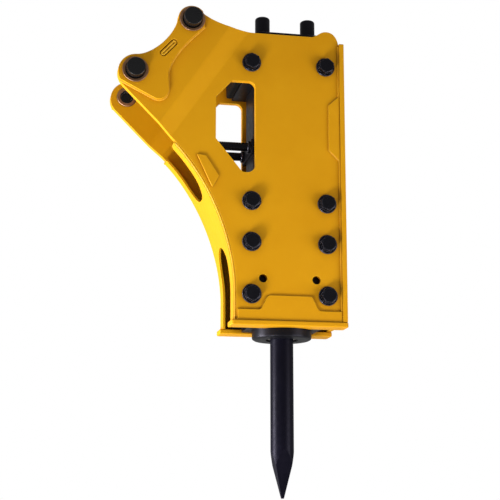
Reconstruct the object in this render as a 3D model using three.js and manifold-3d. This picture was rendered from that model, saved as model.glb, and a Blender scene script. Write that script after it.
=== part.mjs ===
// Hydraulic breaker hammer for a 6 to 9 tonne excavator, with a 75 mm chisel in a side-plate housing.
//
// Millimetres, +Z up. X runs from the carrier side (-X, where the two mounting eyes are) to the rear
// plate (+X), and Y runs across the machine from the near side plate (-Y) to the far one (+Y).
// Everything is drawn around the tool axis, with the lowest row of side bolts at z = 0. The whole
// assembly is then moved so that the origin is the middle of the arm pin bore.

import * as THREE from 'three';
import * as BufferGeometryUtils from 'three/addons/utils/BufferGeometryUtils.js';
import Module from 'manifold-3d';

const wasm = await Module();
wasm.setup();

// ---------------------------------------------------------------- driving dimensions

const GAP = 0.3; // between faces that touch, and around pins in their holes
const RUNNING_GAP = 0.5; // around everything that slides

// hammer body, a stack of three castings
const HEAD_WIDTH = 300; // front head and back head, along x
const BODY_SIDE_ROOM = 3; // between the castings and each side plate
const HEAD_CORNER = 16;
const FRONT_HEAD_TOP = 345;
const FRONT_HEAD_STEP = -60; // the front head narrows below this height
const FRONT_HEAD_BOTTOM = -95;
const FRONT_HEAD_STEP_IN = 30; // how far each side steps in there
const NECK_ROOM = 2; // between the front head's neck and the flanges
const NOSE = 194;
const NOSE_BOTTOM = -128;
const NOSE_CHAMFER = 5;
const CYLINDER_LENGTH = 365;
const CYLINDER_WIDTH = 212;
const CYLINDER_CORNER = 50;
const BACK_HEAD_LENGTH = 180;
const BACK_HEAD_SHOULDER = 55; // height of its sloping shoulders
const BACK_HEAD_TOP_IN = 46; // how far each side of the top is set in
const BACK_HEAD_RIM = 12;
const GAS_CHAMBER = 100;
const GAS_CHAMBER_ROOF = 70; // above the gas chamber
const DAMPER_THICK = 22;
const DAMPER_SIDE_ROOM = 24; // each end stops this far inside the castings' sides
const DAMPER_HEIGHT = 78;
const DAMPER_CORNER = 8;

// fasteners
const SIDE_BOLT = 30; // thread diameter
const SIDE_BOLT_EDGE = 26; // bolt line to the castings' edge
const LOWER_BOLT_ROWS = [0, 168, 302];
const UPPER_BOLT_ROW = 58; // above the foot of the back head
const SIDE_BOLT_FLATS = SIDE_BOLT + 16;
const SIDE_BOLT_HEAD = 19;
const SIDE_NUT = 24;
const WASHER = SIDE_BOLT_FLATS + 16;
const WASHER_THICK = 5;
const THREAD_PAST_NUT = 6;
const PLATE_HOLE_ROOM = 2; // a side plate's bolt hole is wider than the bolt by this
const TIE_BOLT = 28;
const TIE_BOLT_TO_SIDE_BOLT = 47;
const TIE_BOLT_EDGE = 29; // tie bolt line to the castings' side
const TIE_BOLT_HEAD = TIE_BOLT + 21;
const TIE_BOLT_HEAD_HEIGHT = 57;
const TIE_BOLT_DOME = 6;
const TIE_BOLT_ENGAGE = 190; // length screwed into the front head

// welded housing
const SIDE_PLATE = 20; // thickness of a side plate
const EAR_FLARE = 16; // how far each ear is set out from its side plate
const FLARE_RUN = 64; // width of the sloping strip between the two bend lines
const BEND_ANGLE = 56; // degrees, slope of the bend lines above the horizontal
const BEND_CLEAR = 32.74; // from the top bolt's washer to the inner bend line
const DOUBLER = 12; // thickness of the plate welded round both eyes
const SHELL_INNER_WIDTH = 214; // between the side plates
const SHELL_FRONT_ROOM = 23; // from the castings to the front edge of the side plates
const SHELL_REAR_ROOM = 20; // from the castings to their rear edge
const SHELL_BOTTOM = -84;
const SHELL_TOP_DROP = 18; // the side plates end this far below the back head's top
const HUMP = 21.5; // how far the hump at the rear stands above the top edge
const HUMP_START = 92; // rear edge to the foot of the hump
const HUMP_CREST = 40; // rear edge to the crest of the hump
const FRONT_REACH = 210; // how far the front edge's curve leads towards the carrier
const FRONT_RISE = 497; // height where that curve ends
const FRONT_PLATE = 8;
const FRONT_PLATE_STEP = 8; // the front plate stops this far inside the side plates' faces
const FRONT_PLATE_DROP = 15; // and its top this far below the end of the curve
const UPPER_SLOT = 150; // width of the front plate's slot that is open above
const UPPER_SLOT_BOTTOM = 330;
const UPPER_SLOT_CORNER = 64;
const LOWER_SLOT = 138; // width of the slot that is open below
const LOWER_SLOT_TOP = 172;
const REAR_PLATE = 16;
const REAR_PLATE_PROUD = 10; // the rear plate stands out past the side plates
const REAR_PLATE_DROP = 20; // below the side plates' top
const REAR_WINDOW = 124; // width of the openings in the rear plate
const REAR_WINDOW_CORNER = 24;
const REAR_WINDOWS = [[430, 690], [90, 320]]; // bottom and top of each
const WINDOW_RIGHT = -111; // the opening in each side plate, beside the oil ports
const WINDOW_LEFT = -241;
const WINDOW_BOTTOM = 396;
const WINDOW_HEIGHT = 307;
const WINDOW_FOOT = 43; // width of its level bottom edge
const WINDOW_LOWER_CHAMFER = 108; // height of its sloping lower edge
const WINDOW_UPPER_CHAMFER = [52, 58];
const FLANGE = 16;
const FLANGE_PROUD = 13; // past the side plates' faces
const FLANGE_DEPTH = 68; // across the machine, from its outer to its inner edge
const FLANGE_FRONT_PROUD = 18;
const FLANGE_REAR_PROUD = 18;
const FLANGE_CORNER = 8;
const NOSE_ROOM = 4; // between the nose and the flanges
const PAD = 6; // thickness of the raised pads
const FOOT_PAD_TOP = -50;
const FOOT_PAD_RISE = 46; // its middle is higher by this
const REAR_PAD_FOOT = 448;
const REAR_PAD_HEIGHT = 220;
const REAR_PAD_WIDTH = 35;

// mounting eyes, from the top of the side plates
const ARM_EYE_X = -325;
const ARM_EYE_RISE = 21;
const LINK_EYE_X = -507;
const LINK_EYE_DROP = 164;
const PIN_BORE = 46; // for a 45 mm pin
const BUSH_WALL = 10.5;
const BUSH_FLANGE_LIP = 8.5;
const BUSH_FLANGE_THICK = 4;
const BUSH_INNER_PROUD = 4;
const ARM_EYE_LAND = 4; // between the bush's flange and the ear's edge
const LINK_EYE_LAND = 18;
const PLUG_LIP = 7; // the plug's head is wider than the bore by this, all round
const PLUG_HEAD_ROOM = 2.5; // between the plug's head and the recess in the bush
const BUSH_RECESS_DEPTH = 10;
const PLUG_PROUD = 28; // past the bush
const PLUG_SHANK_END = 6; // the shank stops this far short of the bush's inner end
const SLOT_LENGTH = 72; // the slot in each doubler
const SLOT_WIDTH = 22;
const SLOT_SLOPE = 48; // degrees

// tool and its retainers
const TOOL = 75;
const TOOL_LENGTH = 800;
const TOOL_TOP = 169; // with the tool at the bottom of its travel
const TOOL_TIP_FLAT = 8;
const TOOL_POINT = 153; // length of the ground point
const TOOL_TRAVEL = 60;
const TOOL_BUSH_WALL = 14.5;
const TOOL_BUSH_LENGTH = 103;
const TOOL_BUSH_INSET = 5;
const TOOL_FREE = 3; // around the tool between its two bushes
const THRUST_BUSH_BOTTOM = 100;
const THRUST_BUSH_LENGTH = 60;
const ROD_PIN = 36;
const ROD_PIN_BITE = 9.5; // how deep each rod pin reaches into the tool's side
const ROD_PIN_Z = 28;
const ROD_PIN_END = 17; // past the stop pins' lines
const STOP_PIN = 14;
const STOP_PIN_X = 87;
const STOP_PIN_RISE = 5; // the stop pins' line above the rod pins' top
const STOP_PIN_INSET = 4; // each end, inside the front head's sides
const ACCESS_HOLE = STOP_PIN + 13;

// percussion parts
const PISTON_STROKE = 80;
const PISTON_LOWER = 72;
const PISTON_LAND = 80;
const PISTON_UPPER = 64;
const PISTON_LAND_START = 80; // above the front head
const PISTON_LAND_LENGTH = 80;
const PISTON_HEADROOM = 15; // from the piston at the top of its stroke to the gas chamber's roof
const RETAINER_OUTER = 104;
const RETAINER_LENGTH = 68;
const VALVE_CASE_WIDTH = 46;
const VALVE_CASE_DEPTH = 110;
const VALVE_CASE_BOTTOM = 430;
const VALVE_CASE_HEIGHT = 205;
const VALVE_CAP = 12;
const SPOOL = 34;
const SPOOL_LENGTH = 150;
const SPOOL_TRAVEL = 18;
const SPOOL_FLOOR = 14;

// oil ports
const PORT_Y = 58;
const PORT_Z = 500;
const PORT_BOSS = 10;
const PORT_LAND = 24; // boss round each port
const PORT_HOLE = 24;
const PORT_HOLE_DEPTH = 32;
const ADAPTOR_FLANGE = 40;
const ADAPTOR_FLANGE_THICK = 8;
const ADAPTOR_TUBE = 28;
const ADAPTOR_LENGTH = 120;
const ADAPTOR_WALL = 6;

const ROUND_SIDES = 20;
const SMALL_SIDES = 10;

// ---------------------------------------------------------------- derived dimensions

const BODY_DEPTH = SHELL_INNER_WIDTH - 2 * BODY_SIDE_ROOM;
const BODY_Y = BODY_DEPTH / 2;
const CYLINDER_BOTTOM = FRONT_HEAD_TOP + GAP;
const CYLINDER_TOP = FRONT_HEAD_TOP + CYLINDER_LENGTH;
const BACK_HEAD_BOTTOM = CYLINDER_TOP + GAP;
const BACK_HEAD_TOP = CYLINDER_TOP + BACK_HEAD_LENGTH;
const GAS_CHAMBER_TOP = BACK_HEAD_TOP - GAS_CHAMBER_ROOF;
const SIDE_BOLT_X = HEAD_WIDTH / 2 - SIDE_BOLT_EDGE;
const SIDE_BOLT_ROWS = [...LOWER_BOLT_ROWS, CYLINDER_TOP + UPPER_BOLT_ROW];
const TIE_BOLT_X = SIDE_BOLT_X - TIE_BOLT_TO_SIDE_BOLT;
const TIE_BOLT_Y = BODY_Y - TIE_BOLT_EDGE;
const TIE_BOLT_END = FRONT_HEAD_TOP - TIE_BOLT_ENGAGE;

const INNER_Y = SHELL_INNER_WIDTH / 2;
const FACE_Y = INNER_Y + SIDE_PLATE;
const EAR_INNER_Y = INNER_Y + EAR_FLARE;
const EAR_FACE_Y = EAR_INNER_Y + SIDE_PLATE;
const DOUBLER_FACE_Y = EAR_FACE_Y + GAP + DOUBLER;
const SHELL_FRONT = HEAD_WIDTH / 2 + SHELL_FRONT_ROOM;
const SHELL_REAR = HEAD_WIDTH / 2 + SHELL_REAR_ROOM;
const SHELL_TOP = BACK_HEAD_TOP - SHELL_TOP_DROP;
const REAR_PLATE_TOP = SHELL_TOP - REAR_PLATE_DROP;
const FLANGE_INNER_Y = FACE_Y + FLANGE_PROUD - FLANGE_DEPTH;
const BEND_SLOPE = THREE.MathUtils.degToRad(BEND_ANGLE);
const TOP_BOLT_ACROSS = SIDE_BOLT_X * Math.sin(BEND_SLOPE) + SIDE_BOLT_ROWS.at(-1) * Math.cos(BEND_SLOPE);
const BEND_OFFSET = TOP_BOLT_ACROSS + WASHER / 2 + BEND_CLEAR; // from the origin to the inner bend line

const ARM_EYE = [ARM_EYE_X, SHELL_TOP + ARM_EYE_RISE];
const LINK_EYE = [LINK_EYE_X, SHELL_TOP - LINK_EYE_DROP];
const BUSH_BODY = PIN_BORE + 2 * BUSH_WALL;
const BUSH_FLANGE = BUSH_BODY + 2 * BUSH_FLANGE_LIP;
const PLUG_HEAD = PIN_BORE + 2 * PLUG_LIP;
const BUSH_RECESS = PLUG_HEAD + 2 * PLUG_HEAD_ROOM;
const BUSH_OUTER_Y = DOUBLER_FACE_Y + GAP + BUSH_FLANGE_THICK;
const BUSH_INNER_Y = EAR_INNER_Y - BUSH_INNER_PROUD;

const TOOL_TIP = TOOL_TOP - TOOL_LENGTH;
const TOOL_BORE = TOOL + 2 * RUNNING_GAP;
const TOOL_BUSH_OUTER = TOOL_BORE + 2 * TOOL_BUSH_WALL;
const TOOL_BUSH_TOP = NOSE_BOTTOM + TOOL_BUSH_INSET + TOOL_BUSH_LENGTH;
const ROD_PIN_Y = TOOL / 2 - ROD_PIN_BITE + ROD_PIN / 2;
const ROD_PIN_LENGTH = 2 * (STOP_PIN_X + ROD_PIN_END);
const STOP_PIN_Z = ROD_PIN_Z + ROD_PIN / 2 + STOP_PIN_RISE;
const STOP_PIN_LENGTH = BODY_DEPTH - 2 * STOP_PIN_INSET;
const PISTON_FACE = TOOL_TOP + TOOL_TRAVEL + 2 * RUNNING_GAP;
const PISTON_LAND_BOTTOM = FRONT_HEAD_TOP + PISTON_LAND_START;
const PISTON_TOP = GAS_CHAMBER_TOP - PISTON_STROKE - PISTON_HEADROOM;
const RETAINER_BOTTOM = CYLINDER_TOP - RETAINER_LENGTH;
const PORT_FACE_X = CYLINDER_WIDTH / 2 + PORT_BOSS;

// ---------------------------------------------------------------- finishes

const finish = (color, roughness, metalness) =>
  new THREE.MeshStandardMaterial({ color, roughness, metalness });
const HOUSING_PAINT = finish(0xd19517, 0.45, 0);
const BODY_PAINT = finish(0x16161b, 0.4, 0.1);
const BLACK_OXIDE = finish(0x121217, 0.35, 0.6);
const BARE_STEEL = finish(0x9a9590, 0.35, 0.9);
const BUSH_STEEL = finish(0xb98a63, 0.4, 0.8);
const PLUG_PLASTIC = finish(0x101013, 0.4, 0);
const DAMPER_RUBBER = finish(0x0d0d0f, 0.8, 0);

// ---------------------------------------------------------------- solids from three.js geometry

/** Merges shared corners, drops collapsed triangles, points faces outward and returns a solid. */
function solidFrom(geometry) {
  const bare = geometry.clone();
  bare.deleteAttribute('normal');
  bare.deleteAttribute('uv');
  const merged = BufferGeometryUtils.mergeVertices(bare, 1e-4);
  const position = merged.getAttribute('position');
  const corner = [0, 1, 2].map(() => new THREE.Vector3());
  const triangles = [];
  let volume = 0;
  for (let i = 0; i < merged.index.count; i += 3) {
    const ids = [0, 1, 2].map((k) => merged.index.getX(i + k));
    if (ids[0] === ids[1] || ids[1] === ids[2] || ids[2] === ids[0]) continue;
    ids.forEach((id, k) => corner[k].fromBufferAttribute(position, id));
    volume += corner[0].dot(corner[1].clone().cross(corner[2]));
    triangles.push(ids);
  }
  if (volume < 0) triangles.forEach((ids) => ids.reverse());
  const mesh = new wasm.Mesh({
    numProp: 3,
    vertProperties: new Float32Array(position.array),
    triVerts: new Uint32Array(triangles.flat()),
  });
  return new wasm.Manifold(mesh);
}

/** Turns a solid back into geometry that a mesh can show. */
function geometryFrom(solid) {
  const mesh = solid.getMesh();
  const geometry = new THREE.BufferGeometry();
  geometry.setAttribute('position', new THREE.BufferAttribute(new Float32Array(mesh.vertProperties), 3));
  geometry.setIndex(new THREE.BufferAttribute(new Uint32Array(mesh.triVerts), 1));
  geometry.computeVertexNormals();
  return geometry;
}

const extrude = (shape, length) =>
  new THREE.ExtrudeGeometry(shape, { depth: length, bevelEnabled: false });

/** A shape drawn in x and z, carried across the machine from y0 to y1. */
function acrossY(shape, y0, y1) {
  return solidFrom(extrude(shape, y1 - y0).rotateX(Math.PI / 2).translate(0, y1, 0));
}

/** A shape drawn in y and z, carried from x0 to x1. */
function alongX(shape, x0, x1) {
  const axes = new THREE.Matrix4().makeBasis(
    new THREE.Vector3(0, 1, 0), new THREE.Vector3(0, 0, 1), new THREE.Vector3(1, 0, 0));
  return solidFrom(extrude(shape, x1 - x0).applyMatrix4(axes).translate(x0, 0, 0));
}

/** A shape drawn in x and y, carried up from z0 to z1. */
const upZ = (shape, z0, z1) => solidFrom(extrude(shape, z1 - z0).translate(0, 0, z0));

function box(x0, x1, y0, y1, z0, z1) {
  const geometry = new THREE.BoxGeometry(x1 - x0, y1 - y0, z1 - z0);
  return solidFrom(geometry.translate((x0 + x1) / 2, (y0 + y1) / 2, (z0 + z1) / 2));
}

/** A solid turned about its own z axis, from a profile of [diameter, z] pairs. */
function turned(profile, sides = ROUND_SIDES) {
  const points = profile.map(([diameter, z]) => new THREE.Vector2(diameter / 2, z));
  return solidFrom(new THREE.LatheGeometry(points, sides).rotateX(Math.PI / 2));
}

const rod = (diameter, z0, z1, sides = ROUND_SIDES) =>
  turned([[0, z0], [diameter, z0], [diameter, z1], [0, z1]], sides);

const ring = (inner, outer, z0, z1) =>
  turned([[inner, z0], [outer, z0], [outer, z1], [inner, z1], [inner, z0]]);

const AIM = { '+y': [-90, 0, 0], '-y': [90, 0, 0], '+x': [0, 90, 0], '-x': [0, -90, 0] };

/** Turns a solid made along +z to point along another axis. */
const aimed = (solid, direction) => solid.rotate(AIM[direction]);

/** A pin-shaped solid across the machine at (x, z), reaching from -half to +half. */
const crossPin = (diameter, x, z, half, sides = SMALL_SIDES) =>
  aimed(rod(diameter, -half, half, sides), '+y').translate([x, 0, z]);

function hexagon(flats) {
  const corners = [0, 1, 2, 3, 4, 5].map((k) => {
    const angle = (k * Math.PI) / 3;
    const radius = flats / Math.sqrt(3);
    return new THREE.Vector2(radius * Math.cos(angle), radius * Math.sin(angle));
  });
  return new THREE.Shape(corners);
}

/** Points along an arc about (u, v), from one angle to another, about every `step` degrees. */
function arcPoints(u, v, radius, from, to, step) {
  const count = Math.max(1, Math.round(Math.abs(THREE.MathUtils.radToDeg(to - from)) / step));
  return Array.from({ length: count + 1 }, (_, i) => {
    const angle = from + ((to - from) * i) / count;
    return new THREE.Vector2(u + radius * Math.cos(angle), v + radius * Math.sin(angle));
  });
}

/** Points along a cubic curve through its four control points, leaving out the first. */
function curvePoints(controls, count) {
  const curve = new THREE.CubicBezierCurve(...controls.map(([u, v]) => new THREE.Vector2(u, v)));
  return curve.getPoints(count).slice(1);
}

/** A closed outline through [u, v, radius] corners, each rounded to its radius. */
function roundedOutline(corners, step = 30) {
  const count = corners.length;
  const points = corners.flatMap(([u, v, radius = 0], i) => {
    const here = new THREE.Vector2(u, v);
    if (radius === 0) return [here];
    const before = new THREE.Vector2(...corners[(i + count - 1) % count]).sub(here).normalize();
    const after = new THREE.Vector2(...corners[(i + 1) % count]).sub(here).normalize();
    const half = Math.acos(before.dot(after)) / 2;
    const middle = before.clone().add(after).normalize();
    const centre = here.clone().addScaledVector(middle, radius / Math.sin(half));
    const facing = Math.atan2(-middle.y, -middle.x);
    const sweep = Math.sign(before.cross(after)) * (Math.PI / 2 - half);
    return arcPoints(centre.x, centre.y, radius, facing + sweep, facing - sweep, step);
  });
  return new THREE.Shape(points);
}

const rectangle = (u0, u1, v0, v1, radius = 0) =>
  roundedOutline([[u0, v0, radius], [u1, v0, radius], [u1, v1, radius], [u0, v1, radius]]);

/** The same solid on the far side of the machine. */
const farSide = (solid) => solid.mirror([0, 1, 0]);

/** Cuts every tool in the list out of the stock. */
const cut = (stock, tools) => tools.reduce((rest, tool) => rest.subtract(tool), stock);

// ---------------------------------------------------------------- housing

// the shared curve of the side plates' front edges and of the front plate
const FRONT_CURVE = new THREE.CubicBezierCurve(
  new THREE.Vector2(-SHELL_FRONT, 0),
  new THREE.Vector2(-SHELL_FRONT, 0.36 * FRONT_RISE),
  new THREE.Vector2(-SHELL_FRONT - 0.42 * FRONT_REACH, 0.765 * FRONT_RISE),
  new THREE.Vector2(-SHELL_FRONT - FRONT_REACH, FRONT_RISE),
);
const FRONT_STEPS = 16;
const ARM_LOBE = BUSH_FLANGE / 2 + ARM_EYE_LAND;
const ARM_LOBE_END = 40; // degrees, where the lobe runs into the top edge
const LINK_LOBE = BUSH_FLANGE / 2 + LINK_EYE_LAND;
const LINK_LOBE_CENTRE = [LINK_EYE[0] + 5, LINK_EYE[1] - 7];
const LOBE_STEP = 12; // degrees between the points round an eye

/** Where the straight edge that carries the front curve on touches the lobe round the link eye. */
function linkLobeStart() {
  const [x, z] = LINK_LOBE_CENTRE;
  const away = new THREE.Vector2(x, z).sub(FRONT_CURVE.getPoint(1));
  const heading = away.angle() + Math.asin(LINK_LOBE / away.length());
  return heading + Math.PI / 2;
}

/** The edge of an ear round both eyes, from the link eye to the right side of the arm eye. */
function eyeEdge(firstAngle) {
  const [linkX, linkZ] = LINK_LOBE_CENTRE;
  const [armX, armZ] = ARM_EYE;
  const top = [linkX, linkZ + LINK_LOBE];
  const left = [armX - ARM_LOBE, armZ];
  return [
    ...arcPoints(linkX, linkZ, LINK_LOBE, firstAngle, Math.PI / 2, LOBE_STEP),
    ...curvePoints([top, [linkX + 47, top[1] + 3], [armX - 60, armZ - 68], left], 8),
    ...arcPoints(armX, armZ, ARM_LOBE, Math.PI, THREE.MathUtils.degToRad(ARM_LOBE_END), LOBE_STEP).slice(1),
  ];
}

function sidePlateOutline() {
  const edge = eyeEdge(linkLobeStart());
  const last = edge.at(-1);
  const crest = SHELL_TOP + HUMP;
  const hump = SHELL_REAR - HUMP_CREST;
  const humpFoot = SHELL_REAR - HUMP_START;
  return new THREE.Shape([
    new THREE.Vector2(-SHELL_FRONT, SHELL_BOTTOM),
    ...FRONT_CURVE.getPoints(FRONT_STEPS),
    ...edge,
    ...curvePoints([[last.x, last.y], [ARM_EYE[0] + 63, SHELL_TOP + 28],
      [ARM_EYE[0] + 125, SHELL_TOP + 1], [ARM_EYE[0] + 214, SHELL_TOP]], 8),
    new THREE.Vector2(humpFoot, SHELL_TOP),
    ...curvePoints([
      [humpFoot, SHELL_TOP], [humpFoot + 20, SHELL_TOP + 2], [hump - 24, crest], [hump, crest],
    ], 5),
    ...curvePoints([
      [hump, crest], [hump + 22, crest], [SHELL_REAR - 4, SHELL_TOP + 4], [SHELL_REAR, SHELL_TOP - HUMP],
    ], 5),
    new THREE.Vector2(SHELL_REAR, SHELL_BOTTOM),
  ]);
}

/** The bent sheet seen along its bend lines, wide enough to hold the whole outline. */
function bentSheet() {
  const reach = 1300;
  const inner = -BEND_OFFSET;
  const outer = inner - FLARE_RUN;
  const section = new THREE.Shape([
    new THREE.Vector2(reach, -INNER_Y), new THREE.Vector2(inner, -INNER_Y),
    new THREE.Vector2(outer, -EAR_INNER_Y), new THREE.Vector2(-reach, -EAR_INNER_Y),
    new THREE.Vector2(-reach, -EAR_FACE_Y), new THREE.Vector2(outer, -EAR_FACE_Y),
    new THREE.Vector2(inner, -FACE_Y), new THREE.Vector2(reach, -FACE_Y),
  ]);
  const across = new THREE.Vector3(Math.sin(BEND_SLOPE), 0, -Math.cos(BEND_SLOPE));
  const along = new THREE.Vector3(-Math.cos(BEND_SLOPE), 0, -Math.sin(BEND_SLOPE));
  const axes = new THREE.Matrix4().makeBasis(across, new THREE.Vector3(0, 1, 0), along);
  return solidFrom(extrude(section, 2 * reach).translate(0, 0, -reach).applyMatrix4(axes));
}

/** The opening beside the oil ports: a rectangle with a long slope below and a short one above. */
function windowOutline() {
  const top = WINDOW_BOTTOM + WINDOW_HEIGHT;
  const [cutX, cutZ] = WINDOW_UPPER_CHAMFER;
  return roundedOutline([
    [WINDOW_RIGHT, WINDOW_BOTTOM, 28], [WINDOW_RIGHT - WINDOW_FOOT, WINDOW_BOTTOM, 18],
    [WINDOW_LEFT, WINDOW_BOTTOM + WINDOW_LOWER_CHAMFER, 9], [WINDOW_LEFT, top - cutZ, 8],
    [WINDOW_LEFT + cutX, top, 20], [WINDOW_RIGHT, top, 28],
  ]);
}

const eyeHoles = (diameter) =>
  [ARM_EYE, LINK_EYE].map(([x, z]) => crossPin(diameter, x, z, 2 * EAR_FACE_Y, ROUND_SIDES));

const sideBoltSpots = SIDE_BOLT_ROWS.flatMap((z) => [[-SIDE_BOLT_X, z], [SIDE_BOLT_X, z]]);

function sidePlate() {
  const blank = acrossY(sidePlateOutline(), -2 * EAR_FACE_Y, 0).intersect(bentSheet());
  return cut(blank, [
    acrossY(windowOutline(), -2 * FACE_Y, 0),
    ...eyeHoles(BUSH_BODY + 2 * GAP),
    ...sideBoltSpots.map(([x, z]) => crossPin(SIDE_BOLT + PLATE_HOLE_ROOM, x, z, 2 * FACE_Y)),
    ...[-STOP_PIN_X, STOP_PIN_X].map((x) => crossPin(ACCESS_HOLE, x, STOP_PIN_Z, 2 * FACE_Y)),
  ]);
}

function eyeDoubler() {
  const [armX, armZ] = ARM_EYE;
  const [linkX, linkZ] = LINK_EYE;
  const right = [armX + 42, armZ - 22];
  const waist = [linkX + 106, linkZ - 5];
  const heel = [linkX + 109, linkZ - 60];
  const outline = new THREE.Shape([
    ...eyeEdge(Math.PI * 1.16),
    new THREE.Vector2(...right),
    ...curvePoints([right, [armX, armZ - 66], [armX - 62, armZ - 118], waist], 8),
    new THREE.Vector2(...heel),
    ...curvePoints([
      heel, [heel[0] - 6, heel[1] - 36], [heel[0] - 31, heel[1] - 38], [linkX + 62, linkZ - 91],
    ], 5),
  ]);
  const plate = acrossY(outline, -DOUBLER_FACE_Y, -EAR_FACE_Y - GAP);
  const long = SLOT_LENGTH / 2;
  const wide = SLOT_WIDTH / 2;
  const weldSlot = rectangle(-long, long, -wide, wide, wide - 0.1);
  const slot = acrossY(weldSlot, -2 * DOUBLER_FACE_Y, 0)
    .rotate([0, -SLOT_SLOPE, 0]).translate([(armX + linkX) / 2 + 15, 0, (armZ + linkZ) / 2 - 11]);
  return cut(plate, [...eyeHoles(BUSH_BODY + 2 * GAP), slot]);
}

/** The curved front plate lies on the side plates' front edges and is slotted above and below. */
function frontPlate() {
  const inner = [];
  const outer = [];
  const push = (point, normal) => {
    inner.push(point.clone().addScaledVector(normal, GAP));
    outer.push(point.clone().addScaledVector(normal, GAP + FRONT_PLATE));
  };
  push(new THREE.Vector2(-SHELL_FRONT, SHELL_BOTTOM), new THREE.Vector2(-1, 0));
  FRONT_CURVE.getPoints(FRONT_STEPS).forEach((point, i) => {
    const tangent = FRONT_CURVE.getTangent(i / FRONT_STEPS);
    push(point, new THREE.Vector2(-tangent.y, tangent.x));
  });
  const half = FACE_Y - FRONT_PLATE_STEP;
  const plate = acrossY(new THREE.Shape([...inner, ...outer.reverse()]), -half, half);
  const top = 2 * FRONT_RISE;
  const front = -SHELL_FRONT - 2 * FRONT_REACH;
  const wide = UPPER_SLOT / 2;
  const narrow = LOWER_SLOT / 2;
  const upper = alongX(rectangle(-wide, wide, UPPER_SLOT_BOTTOM, top, UPPER_SLOT_CORNER), front, 0);
  const above = alongX(rectangle(-FACE_Y, FACE_Y, FRONT_RISE - FRONT_PLATE_DROP, top), front, 0);
  const lower = alongX(roundedOutline([
    [-narrow, 2 * SHELL_BOTTOM], [narrow, 2 * SHELL_BOTTOM],
    [narrow, LOWER_SLOT_TOP, narrow - 1], [-narrow, LOWER_SLOT_TOP, narrow - 1],
  ]), front, 0);
  return cut(plate, [upper, lower, above]);
}

function rearPlate() {
  const half = FACE_Y + REAR_PLATE_PROUD;
  const x0 = SHELL_REAR + GAP;
  const x1 = x0 + REAR_PLATE;
  const plate = alongX(rectangle(-half, half, SHELL_BOTTOM, REAR_PLATE_TOP, 4), x0, x1);
  const side = REAR_WINDOW / 2;
  return cut(plate, REAR_WINDOWS.map(([z0, z1]) =>
    alongX(rectangle(-side, side, z0, z1, REAR_WINDOW_CORNER), x0 - REAR_PLATE, x1 + REAR_PLATE)));
}

function bottomFlange() {
  const top = SHELL_BOTTOM - GAP;
  const outer = -FACE_Y - FLANGE_PROUD;
  const inner = -FLANGE_INNER_Y;
  const left = -SHELL_FRONT - FLANGE_FRONT_PROUD;
  const right = SHELL_REAR + FLANGE_REAR_PROUD;
  const blank = upZ(roundedOutline([
    [left, outer, FLANGE_CORNER], [right, outer, FLANGE_CORNER], [right, inner, 2], [left, inner, 2],
  ]), top - FLANGE, top);
  return blank.subtract(rod(NOSE + 2 * NOSE_ROOM, top - 2 * FLANGE, top + FLANGE));
}

/** The raised pad along the foot of a side plate, stepped up between the lowest bolts. */
function footPad() {
  const left = -SHELL_FRONT + 4;
  const right = SHELL_REAR - 2;
  const step = SIDE_BOLT_X - WASHER / 2 - 1; // the step keeps clear of the lowest washers
  const high = FOOT_PAD_TOP + FOOT_PAD_RISE;
  const outline = roundedOutline([
    [left, SHELL_BOTTOM + 2], [right, SHELL_BOTTOM + 2], [right, FOOT_PAD_TOP, 1],
    [step, FOOT_PAD_TOP, 16], [step - 22, high, 8], [20 - step, high, 14], [-step - 3, FOOT_PAD_TOP, 14],
    [left, FOOT_PAD_TOP, 1],
  ]);
  const pad = acrossY(outline, -FACE_Y - GAP - PAD, -FACE_Y - GAP);
  return cut(pad, [-SIDE_BOLT_X, SIDE_BOLT_X].map((x) => crossPin(WASHER + 4, x, 0, 2 * FACE_Y)));
}

/** The trapezoid pad half way up the rear edge of a side plate. */
function rearPad() {
  const edge = SHELL_REAR - 2;
  const inner = edge - REAR_PAD_WIDTH;
  const top = REAR_PAD_FOOT + REAR_PAD_HEIGHT;
  const outline = roundedOutline([
    [edge, REAR_PAD_FOOT, 1], [edge, top, 1], [inner, top - 32, 8], [inner, REAR_PAD_FOOT + 34, 8],
  ]);
  return acrossY(outline, -FACE_Y - GAP - PAD, -FACE_Y - GAP);
}

// ---------------------------------------------------------------- mounting eyes

/** A bush made along -y: its flange lies on the doubler and its body fills the eye. */
function eyeBush() {
  const recessFloor = BUSH_OUTER_Y - BUSH_RECESS_DEPTH;
  return aimed(turned([
    [PIN_BORE, BUSH_INNER_Y], [BUSH_BODY - 4, BUSH_INNER_Y], [BUSH_BODY, BUSH_INNER_Y + 2],
    [BUSH_BODY, BUSH_OUTER_Y - BUSH_FLANGE_THICK], [BUSH_FLANGE, BUSH_OUTER_Y - BUSH_FLANGE_THICK],
    [BUSH_FLANGE, BUSH_OUTER_Y - 1], [BUSH_FLANGE - 2, BUSH_OUTER_Y], [BUSH_RECESS, BUSH_OUTER_Y],
    [BUSH_RECESS, recessFloor], [PIN_BORE, recessFloor], [PIN_BORE, BUSH_INNER_Y],
  ]), '-y');
}

/** A plug that keeps a bush clean until the pin goes in: a hollow-ended shank under a round head. */
function borePlug() {
  const headFoot = BUSH_OUTER_Y - BUSH_RECESS_DEPTH + GAP;
  const headTop = BUSH_OUTER_Y + PLUG_PROUD;
  const shankEnd = BUSH_INNER_Y + PLUG_SHANK_END;
  const shank = PIN_BORE - 2 * RUNNING_GAP;
  return aimed(turned([
    [0, shankEnd + 10], [shank - 10, shankEnd + 10], [shank - 10, shankEnd], [shank, shankEnd],
    [shank, headFoot], [PLUG_HEAD, headFoot], [PLUG_HEAD, headTop - 2.5], [PLUG_HEAD - 5, headTop],
    [0, headTop],
  ]), '-y');
}

// ---------------------------------------------------------------- fasteners

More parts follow.
